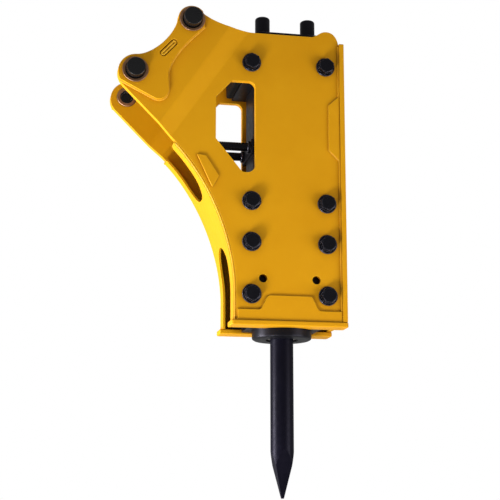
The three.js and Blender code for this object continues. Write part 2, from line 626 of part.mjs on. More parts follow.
/** A side bolt through both plates, its head and washer face on the near side. */
function sideBolt() {
  const headFoot = FACE_Y + GAP;
  const washerTop = headFoot + WASHER_THICK;
  const end = -(FACE_Y + 2 * GAP + WASHER_THICK + SIDE_NUT + THREAD_PAST_NUT);
  const head = upZ(hexagon(SIDE_BOLT_FLATS), washerTop - 1, washerTop + SIDE_BOLT_HEAD);
  const crown = turned([
    [0, washerTop - 2], [SIDE_BOLT_FLATS * 1.3, washerTop - 2],
    [SIDE_BOLT_FLATS * 1.3, washerTop + SIDE_BOLT_HEAD - 5],
    [SIDE_BOLT_FLATS - 2, washerTop + SIDE_BOLT_HEAD],
    [0, washerTop + SIDE_BOLT_HEAD],
  ], SMALL_SIDES);
  const shank = rod(SIDE_BOLT, end, washerTop, SMALL_SIDES);
  return aimed(head.intersect(crown).add(rod(WASHER, headFoot, washerTop)).add(shank), '-y');
}

/** A side bolt's nut with its washer face, on the far side. */
function sideNut() {
  const foot = FACE_Y + GAP;
  const washerTop = foot + WASHER_THICK;
  const nut = upZ(hexagon(SIDE_BOLT_FLATS), washerTop - 1, washerTop + SIDE_NUT)
    .add(rod(WASHER, foot, washerTop));
  return aimed(nut.subtract(rod(SIDE_BOLT + 2 * GAP, foot - 1, washerTop + SIDE_NUT + 1, SMALL_SIDES)), '+y');
}

/** A tie bolt clamps back head, cylinder and front head, under a tall round head. */
function tieBolt() {
  const seat = BACK_HEAD_TOP + GAP;
  const top = BACK_HEAD_TOP + TIE_BOLT_HEAD_HEIGHT;
  return turned([
    [0, TIE_BOLT_END], [TIE_BOLT - 4, TIE_BOLT_END], [TIE_BOLT, TIE_BOLT_END + 3], [TIE_BOLT, seat],
    [TIE_BOLT_HEAD, seat], [TIE_BOLT_HEAD, top - TIE_BOLT_DOME], [TIE_BOLT_HEAD * 0.86, top - 2],
    [TIE_BOLT_HEAD * 0.5, top - 0.4], [0, top],
  ], SMALL_SIDES);
}

// ---------------------------------------------------------------- hammer body

const tieBoltSpots = [-1, 1].flatMap((sx) => [-1, 1].map((sy) => [sx * TIE_BOLT_X, sy * TIE_BOLT_Y]));

const tieBoltHoles = (z0, z1) => tieBoltSpots.map(([x, y]) =>
  rod(TIE_BOLT + 2 * RUNNING_GAP, z0, z1, SMALL_SIDES).translate([x, y, 0]));

const sideBoltHoles = (rows) => rows.flatMap((z) => [-SIDE_BOLT_X, SIDE_BOLT_X].map((x) =>
  crossPin(SIDE_BOLT + 2 * RUNNING_GAP, x, z, FACE_Y)));

/** A block whose upright corners are rounded, for the castings. */
const castBlock = (width, z0, z1, corner = HEAD_CORNER) =>
  upZ(rectangle(-width / 2, width / 2, -BODY_Y, BODY_Y, corner), z0, z1);

function frontHead() {
  const half = HEAD_WIDTH / 2;
  const step = half - FRONT_HEAD_STEP_IN;
  const side = new THREE.Shape([
    new THREE.Vector2(-step, FRONT_HEAD_BOTTOM), new THREE.Vector2(step, FRONT_HEAD_BOTTOM),
    new THREE.Vector2(half, FRONT_HEAD_STEP), new THREE.Vector2(half, FRONT_HEAD_TOP),
    new THREE.Vector2(-half, FRONT_HEAD_TOP), new THREE.Vector2(-half, FRONT_HEAD_STEP),
  ]);
  const foot = FLANGE_INNER_Y - NECK_ROOM;
  const neck = box(-half, half, -foot, foot, FRONT_HEAD_BOTTOM - 1, SHELL_BOTTOM + 4);
  const trunk = castBlock(HEAD_WIDTH, SHELL_BOTTOM + 2, FRONT_HEAD_TOP + 1);
  const block = acrossY(side, -BODY_Y, BODY_Y).intersect(trunk.add(neck));
  const nose = turned([
    [0, NOSE_BOTTOM], [NOSE - 2 * NOSE_CHAMFER, NOSE_BOTTOM], [NOSE, NOSE_BOTTOM + NOSE_CHAMFER],
    [NOSE, FRONT_HEAD_STEP], [0, FRONT_HEAD_STEP],
  ]);
  const bore = turned([
    [0, NOSE_BOTTOM - 1], [TOOL_BUSH_OUTER + 2 * GAP, NOSE_BOTTOM - 1],
    [TOOL_BUSH_OUTER + 2 * GAP, TOOL_BUSH_TOP + GAP], [TOOL + 2 * TOOL_FREE, TOOL_BUSH_TOP + GAP],
    [TOOL + 2 * TOOL_FREE, THRUST_BUSH_BOTTOM - GAP], [TOOL_BUSH_OUTER + 2 * GAP, THRUST_BUSH_BOTTOM - GAP],
    [TOOL_BUSH_OUTER + 2 * GAP, FRONT_HEAD_TOP + 1], [0, FRONT_HEAD_TOP + 1],
  ]);
  const pinHoles = [-1, 1].map((side_) =>
    aimed(rod(ROD_PIN + 2 * GAP, -half - 1, half + 1), '+x').translate([0, side_ * ROD_PIN_Y, ROD_PIN_Z]));
  const stopHoles = [-1, 1].map((end) =>
    crossPin(STOP_PIN + 2 * GAP, end * STOP_PIN_X, STOP_PIN_Z, BODY_Y + 1));
  return cut(block.add(nose), [
    bore, ...pinHoles, ...stopHoles,
    ...sideBoltHoles(SIDE_BOLT_ROWS.filter((z) => z < FRONT_HEAD_TOP)),
    ...tieBoltHoles(TIE_BOLT_END - 2, FRONT_HEAD_TOP + 1),
  ]);
}

function cylinder() {
  const landRoom = PISTON_LAND_BOTTOM - 10;
  const bore = turned([
    [0, CYLINDER_BOTTOM - 1], [PISTON_LOWER + 2 * RUNNING_GAP, CYLINDER_BOTTOM - 1],
    [PISTON_LOWER + 2 * RUNNING_GAP, landRoom], [PISTON_LAND + 2 * RUNNING_GAP, landRoom],
    [PISTON_LAND + 2 * RUNNING_GAP, RETAINER_BOTTOM - GAP], [RETAINER_OUTER + 2 * GAP, RETAINER_BOTTOM - GAP],
    [RETAINER_OUTER + 2 * GAP, CYLINDER_TOP + 1], [0, CYLINDER_TOP + 1],
  ]);
  const bossY = PORT_Y + PORT_LAND;
  const boss = alongX(rectangle(-bossY, bossY, PORT_Z - PORT_LAND, PORT_Z + PORT_LAND, PORT_BOSS),
    -PORT_FACE_X, CYLINDER_CORNER - CYLINDER_WIDTH / 2);
  const ports = [-PORT_Y, PORT_Y].map((y) =>
    aimed(rod(PORT_HOLE, 0, PORT_HOLE_DEPTH + 1), '+x').translate([-PORT_FACE_X - 1, y, PORT_Z]));
  return cut(castBlock(CYLINDER_WIDTH, CYLINDER_BOTTOM, CYLINDER_TOP, CYLINDER_CORNER).add(boss), [
    bore, ...ports, ...tieBoltHoles(CYLINDER_BOTTOM - 1, CYLINDER_TOP + 1),
  ]);
}

/** The back head is the gas chamber, open below where the seal retainer closes it. */
function backHead() {
  const half = HEAD_WIDTH / 2;
  const topHalf = half - BACK_HEAD_TOP_IN;
  const shoulder = BACK_HEAD_TOP - BACK_HEAD_SHOULDER;
  const rim = BACK_HEAD_TOP - BACK_HEAD_RIM;
  const side = new THREE.Shape([
    new THREE.Vector2(-half, BACK_HEAD_BOTTOM), new THREE.Vector2(half, BACK_HEAD_BOTTOM),
    new THREE.Vector2(half, shoulder), new THREE.Vector2(topHalf, rim),
    new THREE.Vector2(topHalf, BACK_HEAD_TOP), new THREE.Vector2(-topHalf, BACK_HEAD_TOP),
    new THREE.Vector2(-topHalf, rim), new THREE.Vector2(-half, shoulder),
  ]);
  const block = acrossY(side, -BODY_Y, BODY_Y)
    .intersect(castBlock(HEAD_WIDTH, BACK_HEAD_BOTTOM - 1, BACK_HEAD_TOP + 1));
  return cut(block, [
    rod(GAS_CHAMBER, BACK_HEAD_BOTTOM - 1, GAS_CHAMBER_TOP),
    rod(PORT_HOLE, GAS_CHAMBER_TOP - 1, BACK_HEAD_TOP + 1, SMALL_SIDES),
    ...sideBoltHoles(SIDE_BOLT_ROWS.filter((z) => z > CYLINDER_TOP)),
    ...tieBoltHoles(BACK_HEAD_BOTTOM - 1, BACK_HEAD_TOP + 1),
  ]);
}

/** The valve on top of the back head through which the nitrogen is charged. */
function gasValve() {
  const seat = BACK_HEAD_TOP + GAP;
  const spigot = rod(PORT_HOLE - 2 * GAP, GAS_CHAMBER_TOP + 20, seat + 1, SMALL_SIDES);
  const cap = turned([
    [0, seat + 13], [20, seat + 13], [20, seat + 22], [16, seat + 24], [0, seat + 24],
  ], SMALL_SIDES);
  return upZ(hexagon(36), seat, seat + 14).add(spigot).add(cap);
}

/** The rubber block that the back head's front face carries. */
function damperPad() {
  const x1 = -HEAD_WIDTH / 2 - GAP;
  const x0 = x1 - DAMPER_THICK;
  const z0 = BACK_HEAD_BOTTOM;
  const z1 = z0 + DAMPER_HEIGHT;
  const half = BODY_Y - DAMPER_SIDE_ROOM;
  const outline = roundedOutline([[x0, z0, DAMPER_CORNER], [x1, z0], [x1, z1], [x0, z1, DAMPER_CORNER]]);
  return acrossY(outline, -half, half);
}

const sealRetainer = () =>
  ring(PISTON_UPPER + 2 * RUNNING_GAP, RETAINER_OUTER, RETAINER_BOTTOM, CYLINDER_TOP - GAP);

const toolBush = () => ring(TOOL_BORE, TOOL_BUSH_OUTER, NOSE_BOTTOM + TOOL_BUSH_INSET, TOOL_BUSH_TOP);

const thrustBush = () =>
  ring(TOOL_BORE, TOOL_BUSH_OUTER, THRUST_BUSH_BOTTOM, THRUST_BUSH_BOTTOM + THRUST_BUSH_LENGTH);

// ---------------------------------------------------------------- tool and its retainers

/** The chisel at the bottom of its travel, hanging by its flats on the rod pins. */
function chisel() {
  const radius = TOOL / 2;
  const shank = turned([
    [0, TOOL_TIP], [TOOL, TOOL_TIP], [TOOL, TOOL_TOP - 5], [TOOL - 8, TOOL_TOP], [0, TOOL_TOP],
  ]);
  const slope = (radius - TOOL_TIP_FLAT / 2) / TOOL_POINT;
  const wide = radius + slope * (TOOL_LENGTH - TOOL_POINT);
  const point = solidFrom(new THREE.CylinderGeometry(
    wide * Math.SQRT2, (TOOL_TIP_FLAT / 2) * Math.SQRT2, TOOL_LENGTH, 4)
    .rotateY(Math.PI / 4).rotateX(Math.PI / 2).translate(0, 0, TOOL_TIP + TOOL_LENGTH / 2));
  const flatY = ROD_PIN_Y - ROD_PIN / 2 - RUNNING_GAP;
  const flatTop = ROD_PIN_Z + ROD_PIN / 2 + RUNNING_GAP;
  const flatBottom = ROD_PIN_Z - ROD_PIN / 2 - TOOL_TRAVEL - RUNNING_GAP;
  return cut(shank.intersect(point), [
    box(-TOOL, TOOL, flatY, TOOL, flatBottom, flatTop),
    box(-TOOL, TOOL, -TOOL, -flatY, flatBottom, flatTop),
  ]);
}

/** A rod pin lies beside the tool's flat, notched where the stop pins lock it. */
function rodPin() {
  const half = ROD_PIN_LENGTH / 2;
  const pin = aimed(rod(ROD_PIN, -half, half), '+x').translate([0, 0, ROD_PIN_Z]);
  return cut(pin, [-STOP_PIN_X, STOP_PIN_X].map((x) =>
    crossPin(STOP_PIN + 2 * GAP, x, STOP_PIN_Z, ROD_PIN)));
}

const stopPin = () => crossPin(STOP_PIN, 0, STOP_PIN_Z, STOP_PIN_LENGTH / 2);

// ---------------------------------------------------------------- percussion parts

/** The piston at the bottom of its stroke, just clear of the chisel pushed fully in. */
function piston() {
  const landTop = PISTON_LAND_BOTTOM + PISTON_LAND_LENGTH;
  return turned([
    [0, PISTON_FACE], [PISTON_LOWER - 6, PISTON_FACE], [PISTON_LOWER, PISTON_FACE + 3],
    [PISTON_LOWER, PISTON_LAND_BOTTOM], [PISTON_LAND, PISTON_LAND_BOTTOM + 3], [PISTON_LAND, landTop - 4],
    [PISTON_UPPER, landTop], [PISTON_UPPER, PISTON_TOP - 4], [PISTON_UPPER - 6, PISTON_TOP], [0, PISTON_TOP],
  ]);
}

const VALVE_X0 = CYLINDER_WIDTH / 2 + GAP;
const VALVE_X = VALVE_X0 + VALVE_CASE_WIDTH / 2;
const VALVE_TOP = VALVE_CASE_BOTTOM + VALVE_CASE_HEIGHT;
const SPOOL_BOTTOM = VALVE_CASE_BOTTOM + SPOOL_FLOOR + GAP;

function valveCase() {
  const half = VALVE_CASE_DEPTH / 2;
  const outline = rectangle(VALVE_X0, VALVE_X0 + VALVE_CASE_WIDTH, -half, half, 4);
  const block = upZ(outline, VALVE_CASE_BOTTOM, VALVE_TOP);
  const bore = rod(SPOOL + 2 * RUNNING_GAP, VALVE_CASE_BOTTOM + SPOOL_FLOOR, VALVE_TOP + 1, SMALL_SIDES);
  return block.subtract(bore.translate([VALVE_X, 0, 0]));
}

function valveCap() {
  const half = VALVE_CASE_DEPTH / 2;
  const x1 = VALVE_X0 + VALVE_CASE_WIDTH;
  const z0 = VALVE_TOP + GAP;
  const plate = upZ(rectangle(VALVE_X0, x1, -half, half, 8), z0, z0 + VALVE_CAP);
  const screws = [-1, 1].flatMap((sx) => [-1, 1].map((sy) =>
    upZ(hexagon(13), z0 + VALVE_CAP - 1, z0 + VALVE_CAP + 7)
      .translate([VALVE_X + sx * 13, sy * (half - 12), 0])));
  return screws.reduce((whole, screw) => whole.add(screw), plate);
}

function valveSpool() {
  const top = SPOOL_BOTTOM + SPOOL_LENGTH;
  const waist = SPOOL - 10;
  return turned([
    [0, SPOOL_BOTTOM], [SPOOL, SPOOL_BOTTOM], [SPOOL, SPOOL_BOTTOM + 36], [waist, SPOOL_BOTTOM + 40],
    [waist, SPOOL_BOTTOM + 62], [SPOOL, SPOOL_BOTTOM + 66], [SPOOL, top - 62], [waist, top - 58],
    [waist, top - 34], [SPOOL, top - 30], [SPOOL, top], [0, top],
  ], SMALL_SIDES).translate([VALVE_X, 0, 0]);
}

/** A port adaptor: spigot, flange and the tube that a hose is pushed on, made along -x. */
function portAdaptor() {
  const thread = PORT_HOLE - 2 * GAP;
  const bore = ADAPTOR_TUBE - 2 * ADAPTOR_WALL;
  const flangeTop = GAP + ADAPTOR_FLANGE_THICK;
  return aimed(turned([
    [bore, -20], [thread, -20], [thread, GAP], [ADAPTOR_FLANGE, GAP], [ADAPTOR_FLANGE, flangeTop],
    [ADAPTOR_TUBE, flangeTop], [ADAPTOR_TUBE, ADAPTOR_LENGTH - 5], [ADAPTOR_TUBE - 4, ADAPTOR_LENGTH],
    [bore, ADAPTOR_LENGTH], [bore, -20],
  ]), '-x').translate([-PORT_FACE_X, 0, 0]);
}

// ---------------------------------------------------------------- assembly

const breaker = new THREE.Group();
breaker.position.set(-ARM_EYE[0], 0, -ARM_EYE[1]);

function place(name, solid, material, x = 0, y = 0, z = 0) {
  const mesh = new THREE.Mesh(geometryFrom(solid), material);
  mesh.name = name;
  mesh.position.set(x, y, z);
  breaker.add(mesh);
}

function placeBothSides(name, solid, material) {
  place(`${name}_near`, solid, material);
  place(`${name}_far`, farSide(solid), material);
}

placeBothSides('side_plate', sidePlate(), HOUSING_PAINT);
placeBothSides('eye_doubler', eyeDoubler(), HOUSING_PAINT);
placeBothSides('bottom_flange', bottomFlange(), HOUSING_PAINT);
placeBothSides('foot_pad', footPad(), HOUSING_PAINT);
placeBothSides('rear_pad', rearPad(), HOUSING_PAINT);
place('front_plate', frontPlate(), HOUSING_PAINT);
place('rear_plate', rearPlate(), HOUSING_PAINT);

for (const [eye, [x, z]] of [['arm', ARM_EYE], ['link', LINK_EYE]]) {
  const bush = eyeBush();
  const plug = borePlug();
  place(`${eye}_bush_near`, bush, BUSH_STEEL, x, 0, z);
  place(`${eye}_bush_far`, farSide(bush), BUSH_STEEL, x, 0, z);
  place(`${eye}_plug_near`, plug, PLUG_PLASTIC, x, 0, z);
  place(`${eye}_plug_far`, farSide(plug), PLUG_PLASTIC, x, 0, z);
}

sideBoltSpots.forEach(([x, z], i) => {
  place(`side_bolt_${i + 1}`, sideBolt(), BLACK_OXIDE, x, 0, z);
  place(`side_nut_${i + 1}`, sideNut(), BLACK_OXIDE, x, 0, z);
});
tieBoltSpots.forEach(([x, y], i) => place(`tie_bolt_${i + 1}`, tieBolt(), BLACK_OXIDE, x, y, 0));

place('front_head', frontHead(), BODY_PAINT);
place('cylinder', cylinder(), BODY_PAINT);
place('back_head', backHead(), BODY_PAINT);
place('gas_valve', gasValve(), BARE_STEEL);
place('damper_pad', damperPad(), DAMPER_RUBBER);
place('seal_retainer', sealRetainer(), BARE_STEEL);
place('tool_bush', toolBush(), BARE_STEEL);
place('thrust_bush', thrustBush(), BARE_STEEL);
place('chisel', chisel(), BLACK_OXIDE);
place('rod_pin_near', rodPin(), BARE_STEEL, 0, -ROD_PIN_Y, 0);
place('rod_pin_far', rodPin(), BARE_STEEL, 0, ROD_PIN_Y, 0);
place('stop_pin_left', stopPin(), BARE_STEEL, -STOP_PIN_X, 0, 0);
place('stop_pin_right', stopPin(), BARE_STEEL, STOP_PIN_X, 0, 0);
place('piston', piston(), BARE_STEEL);
place('valve_case', valveCase(), BODY_PAINT);
place('valve_cap', valveCap(), BODY_PAINT);
place('valve_spool', valveSpool(), BARE_STEEL);
place('port_adaptor_in', portAdaptor(), BLACK_OXIDE, 0, -PORT_Y, PORT_Z);
place('port_adaptor_out', portAdaptor(), BLACK_OXIDE, 0, PORT_Y, PORT_Z);

export default breaker;
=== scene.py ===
# %% [markdown]
# # A hydraulic breaker hammer
#
# The breaker hangs on two pins under an excavator's arm. Two thick side plates, bent outwards at
# their ears, hold a black hammer body between them with long bolts, and a chisel slides in its nose.
# The frame holds every part at its real size and place. Each cell below dresses a few of them:
# it redraws the coarse shape finely, rounds its edges, and gives it the finish of the real piece.

# %% Load the frame
import math

import bmesh
import bpy
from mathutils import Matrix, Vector


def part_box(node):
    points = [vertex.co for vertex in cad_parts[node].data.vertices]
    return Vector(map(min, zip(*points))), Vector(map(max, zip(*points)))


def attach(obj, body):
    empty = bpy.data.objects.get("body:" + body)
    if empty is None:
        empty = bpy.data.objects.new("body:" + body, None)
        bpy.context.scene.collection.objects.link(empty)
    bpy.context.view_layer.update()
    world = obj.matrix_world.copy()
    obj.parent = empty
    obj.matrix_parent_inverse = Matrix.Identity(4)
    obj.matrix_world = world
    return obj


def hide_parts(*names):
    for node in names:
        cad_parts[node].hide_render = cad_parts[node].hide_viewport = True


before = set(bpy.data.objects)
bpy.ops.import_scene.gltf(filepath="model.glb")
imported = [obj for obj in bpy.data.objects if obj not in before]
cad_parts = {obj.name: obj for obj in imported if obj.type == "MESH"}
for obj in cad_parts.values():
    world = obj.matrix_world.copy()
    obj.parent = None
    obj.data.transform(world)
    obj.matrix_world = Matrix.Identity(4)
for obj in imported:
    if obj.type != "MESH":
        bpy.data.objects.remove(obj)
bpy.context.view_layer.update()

# %% [markdown]
# ## Drawing units
#
# A fabricator draws this machine in millimetres from the tool's axis and from the lowest row of side
# bolts. Blender works in metres from the frame's origin. So every cell draws in millimetres, and one
# helper moves a point into the frame. Both zero lines are read from parts that the frame holds.

# %% Drawing units
MM = 0.001
chisel_low, chisel_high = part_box("chisel")
bolt_low, bolt_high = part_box("side_bolt_1")
AXIS_X = (chisel_low[0] + chisel_high[0]) / 2
BASE_Z = (bolt_low[2] + bolt_high[2]) / 2
BODY = "breaker"


def place(x, y, z):
    """A point drawn in millimetres, as a place in the frame."""
    return Vector((AXIS_X + x * MM, y * MM, BASE_Z + z * MM))


def span(node):
    """The extent of a frame node in drawing millimetres: (x0, x1), (y0, y1), (z0, z1)."""
    low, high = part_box(node)
    return (
        ((low[0] - AXIS_X) / MM, (high[0] - AXIS_X) / MM),
        (low[1] / MM, high[1] / MM),
        ((low[2] - BASE_Z) / MM, (high[2] - BASE_Z) / MM),
    )


def middle(pair):
    return (pair[0] + pair[1]) / 2


def add_object(name, data):
    """A new object in the scene."""
    added = bpy.data.objects.new(name, data)
    bpy.context.collection.objects.link(added)
    return added


print(f"tool axis at x = {AXIS_X:.3f} m, lowest bolts at z = {BASE_Z:.3f} m")

# %% [markdown]
# ## Camera, backdrop and light
#
# The camera stands low and to the left and looks slightly up, with a long lens so that the upright
# edges stay almost parallel. The backdrop is a pale studio: a white surround, a pale floor well below
# the chisel, and large soft lights, the strongest from the left, because a machine that is painted one
# colour shows its shape only where its edges catch the light.

# %% Camera
AIM = Vector((0.2205, 0.0, -0.7251))
CAMERA_DISTANCE = 4.117
CAMERA_TURN = 0.1936  # radians, towards the carrier side
CAMERA_TILT = 0.2093  # radians, looking up
LENS = 90.5
FLOOR_Z = -3.4
FLOOR_GLOW = 0.48  # keeps the floor pale in views from above, and lights nothing

camera_data = bpy.data.cameras.new("camera")
camera_data.lens = LENS
camera_data.sensor_width = 36.0
camera_data.clip_start = 0.1
camera_data.clip_end = 60.0
camera = add_object("camera", camera_data)
looking = Vector((
    math.sin(CAMERA_TURN) * math.cos(CAMERA_TILT),
    math.cos(CAMERA_TURN) * math.cos(CAMERA_TILT),
    math.sin(CAMERA_TILT),
))
camera.location = AIM - looking * CAMERA_DISTANCE
camera.rotation_euler = (math.pi / 2 + CAMERA_TILT, 0.0, -CAMERA_TURN)
bpy.context.scene.camera = camera
bpy.context.scene.view_settings.view_transform = "Standard"
print("camera at", tuple(round(v, 3) for v in camera.location))

# %% Node helpers, used by every tree below


def fill(tree, node, inputs):
    """Joins or fills a node's inputs by their names or numbers."""
    for key, value in inputs.items():
        socket = node.inputs[key]
        if isinstance(value, bpy.types.NodeSocket):
            tree.links.new(value, socket)
        else:
            socket.default_value = value


def add_node(tree, kind, inputs=None, **settings):
    node = tree.nodes.new(kind)
    for key, value in settings.items():
        setattr(node, key, value)
    fill(tree, node, inputs or {})
    return node


def math_node(tree, operation, first, second=0.0):
    return add_node(tree, "ShaderNodeMath", {0: first, 1: second}, operation=operation).outputs[0]


def scaled(tree, value, low, high, start=0.0, end=1.0):
    """A value carried from one range to another, and held at its ends."""
    return add_node(tree, "ShaderNodeMapRange", {
        "Value": value, "From Min": start, "From Max": end, "To Min": low, "To Max": high}).outputs[0]


# %% Studio: surround, floor and lights
SURROUND_WHITE = 1.0
SURROUND_LIGHT = 0.28


def make_surround():
    """White where the camera sees it, and a dimmer even light where surfaces see it."""
    world = bpy.data.worlds.new("studio")
    bpy.context.scene.world = world
    world.use_nodes = True
    tree = world.node_tree
    tree.nodes.clear()
    path = add_node(tree, "ShaderNodeLightPath")
    strength = scaled(tree, path.outputs["Is Camera Ray"], SURROUND_LIGHT, SURROUND_WHITE)
    background = add_node(tree, "ShaderNodeBackground", {
        "Color": (1.0, 1.0, 1.0, 1.0), "Strength": strength})
    add_node(tree, "ShaderNodeOutputWorld", {"Surface": background.outputs[0]})


def add_light(name, position, size, power):
    data = bpy.data.lights.new(name, "AREA")
    data.shape = "SQUARE"
    data.size = size
    data.energy = power
    light = add_object(name, data)
    light.location = position
    light.rotation_euler = (AIM - Vector(position)).to_track_quat("-Z", "Y").to_euler()
    light.visible_camera = False


make_surround()
add_light("low_left_light", (-1.74, -1.55, -3.1), 1.0, 98.0)
add_light("left_light", (-2.7, 0.25, -1.5), 1.2, 130.0)
add_light("low_right_light", (2.84, -1.8, -1.8), 2.0, 57.0)
add_light("top_light", (0.6, 1.2, 2.2), 2.2, 20.0)

FLOOR_HALF = 12.0
floor_mesh = bpy.data.meshes.new("floor")
floor_mesh.from_pydata(
    [(FLOOR_HALF * x, FLOOR_HALF * y, FLOOR_Z) for x, y in ((-1, -1), (1, -1), (1, 1), (-1, 1))],
    [], [(0, 1, 2, 3)])
floor = add_object("floor", floor_mesh)
floor_paint = bpy.data.materials.new("pale_floor")
floor_paint.use_nodes = True
floor_tree = floor_paint.node_tree
seen = add_node(floor_tree, "ShaderNodeLightPath").outputs["Is Camera Ray"]
fill(floor_tree, floor_tree.nodes["Principled BSDF"], {
    "Base Color": (0.86, 0.86, 0.85, 1.0), "Roughness": 0.7, "Emission Color": (1.0, 1.0, 1.0, 1.0),
    "Emission Strength": math_node(floor_tree, "MULTIPLY", seen, FLOOR_GLOW)})
floor_mesh.materials.append(floor_paint)
print("floor at z =", FLOOR_Z)

# %% [markdown]
# ## Finishes
#
# Every finish starts from the same recipe. A broad noise shifts the colour a little from place to
# place, a finer one changes the gloss, and the finest lifts the surface. An edge mask finds the edges
# and lightens them: partly wear, where paint runs thin and metal gets rubbed, and partly a painted
# highlight where the edges catch the light. It compares the true normal with a softened one, so it
# follows the real edges of each piece and needs no painting by hand. An occlusion mask darkens the
# corners that face each other towards a darker colour: painted shade.

# %% Finish recipe
EDGE_START, EDGE_FULL = 0.995, 0.80  # agreement of the normals where the mask starts and is full


def edge_mask(tree, radius):
    """1 on convex and concave edges, 0 on open faces."""
    soft = add_node(tree, "ShaderNodeBevel", {"Radius": radius}, samples=6)
    true = add_node(tree, "ShaderNodeNewGeometry")
    match = add_node(tree, "ShaderNodeVectorMath", {
        0: soft.outputs["Normal"], 1: true.outputs["Normal"]}, operation="DOT_PRODUCT")
    return scaled(tree, match.outputs["Value"], 0.0, 1.0, EDGE_START, EDGE_FULL)


def noise(tree, coordinates, scale, detail, roughness, stretch=None):
    if stretch is not None:
        coordinates = add_node(tree, "ShaderNodeMapping", {
            "Vector": coordinates, "Scale": stretch}).outputs[0]
    return add_node(tree, "ShaderNodeTexNoise", {
        "Vector": coordinates, "Scale": scale, "Detail": detail, "Roughness": roughness}).outputs["Fac"]


def mixed(tree, factor, first, second):
    """Two colours, mixed by a factor."""
    inputs = {0: factor, 6: first, 7: second}
    return add_node(tree, "ShaderNodeMix", inputs, data_type="RGBA").outputs[2]


def make_finish(name, light, deep, edge_wear_and_highlight, roughness, metallic=0.0, grain=350.0, depth=0.00006,
                blotch=5.0, edge_radius=0.0022, edge_share=0.6, painted_shade_colour=(0.05, 0.04, 0.03, 1.0),
                painted_shade_share=0.0, specular=0.5, tint=(1.0, 1.0, 1.0, 1.0), stretch=None):
    """One finish: two paint colours in blotches, an edge colour that is partly wear and partly a painted
    highlight, optional painted shade in corners, and a fine grain.
    """
    finish = bpy.data.materials.new(name)
    finish.use_nodes = True
    tree = finish.node_tree
    shader = tree.nodes["Principled BSDF"]
    where = add_node(tree, "ShaderNodeTexCoord").outputs["Object"]
    broad = noise(tree, where, blotch, 4.0, 0.6)
    fine = noise(tree, where, grain, 2.0, 0.5, stretch)
    patch = noise(tree, where, 60.0, 3.0, 0.6)
    colour = mixed(tree, scaled(tree, broad, 0.0, 1.0, 0.35, 0.65), light, deep)
    # Painted shade: an occlusion mask darkens corners and recesses towards a darker colour.
    if painted_shade_share:
        hidden = add_node(tree, "ShaderNodeAmbientOcclusion", {"Distance": 0.035}, samples=6).outputs["AO"]
        shade = scaled(tree, hidden, painted_shade_share, 0.0, 0.25, 0.95)
        shade = math_node(tree, "MULTIPLY", shade, scaled(tree, patch, 0.7, 1.2))
        colour = mixed(tree, shade, colour, painted_shade_colour)
    # Edge colour: partly wear, partly a painted highlight along the edges.
    wear_and_highlight = scaled(tree, patch, 0.5 * edge_share, 1.4 * edge_share, 0.3, 0.7)
    edges = math_node(tree, "MULTIPLY", edge_mask(tree, edge_radius), wear_and_highlight)
    bump = add_node(tree, "ShaderNodeBump", {"Strength": 0.6, "Distance": depth, "Height": fine})
    fill(tree, shader, {
        "Base Color": mixed(tree, edges, colour, edge_wear_and_highlight),
        "Roughness": scaled(tree, patch, roughness - 0.06, roughness + 0.08, 0.3, 0.7),
        "Normal": bump.outputs[0], "Metallic": metallic,
        "Specular IOR Level": specular, "Specular Tint": tint})
    return finish


# %% [markdown]
# The housing is sprayed with a warm yellow enamel that is lemon where it is lit and orange where it is
# shaded, and a lemon highlight is painted along its edges. The castings are sprayed satin black with a
# faint violet sheen. Bolts are oiled black oxide with a highlight painted on their edges, the eye bushes
# are turned steel that the oven has tinted copper, and the plugs are moulded black plastic with a
# highlight painted on their rims.

# %% Finishes of this machine
# Yellow enamel: the lemon edge colour is a painted highlight, and the dark orange corner colour is painted
# shade.
YELLOW_PAINT = make_finish(
    "yellow_enamel", (0.80, 0.375, 0.006, 1), (0.75, 0.335, 0.004, 1), (1.0, 0.72, 0.03, 1), 0.42,
    grain=420.0, blotch=3.2, edge_radius=0.003, edge_share=0.9, painted_shade_colour=(0.30, 0.10, 0.002, 1), painted_shade_share=0.9,
    specular=0.14)
# Enamel on welds: the lemon edge colour is a painted highlight, and the darker corner colour is painted
# shade.
WELD_PAINT = make_finish(
    "yellow_enamel_on_weld", (0.86, 0.45, 0.010, 1), (0.70, 0.31, 0.005, 1), (1.0, 0.74, 0.04, 1), 0.36,
    grain=260.0, depth=0.0002, painted_shade_colour=(0.33, 0.12, 0.004, 1), painted_shade_share=0.45, specular=0.35)
BLACK_PAINT = make_finish(
    "satin_black_enamel", (0.0055, 0.0055, 0.0070, 1), (0.0035, 0.0035, 0.0045, 1), (0.05, 0.05, 0.06, 1),
    0.36, grain=300.0, depth=0.0001, specular=0.20, tint=(0.82, 0.78, 1.0, 1))
# Black oxide: the pale violet edge colour is a painted highlight.
BLACK_OXIDE = make_finish(
    "oiled_black_oxide", (0.006, 0.006, 0.008, 1), (0.004, 0.004, 0.005, 1), (0.34, 0.33, 0.42, 1), 0.26,
    metallic=0.1, grain=500.0, edge_radius=0.0012, edge_share=0.8, specular=0.24, tint=(0.82, 0.80, 1.0, 1))
TURNED_STEEL = make_finish(
    "turned_bare_steel", (0.50, 0.47, 0.43, 1), (0.40, 0.37, 0.34, 1), (0.70, 0.68, 0.65, 1), 0.32,
    metallic=1.0, grain=90.0, stretch=(1.0, 1.0, 12.0))
# Bush steel: the dark corner colour is painted shade, and the pale edge colour is partly wear and partly a
# painted highlight.
BUSH_STEEL = make_finish(
    "heat_tinted_bush_steel", (0.50, 0.27, 0.14, 1), (0.30, 0.15, 0.08, 1), (0.85, 0.62, 0.42, 1), 0.38,
    metallic=0.85, grain=160.0, blotch=40.0, painted_shade_colour=(0.05, 0.03, 0.02, 1), painted_shade_share=0.8)
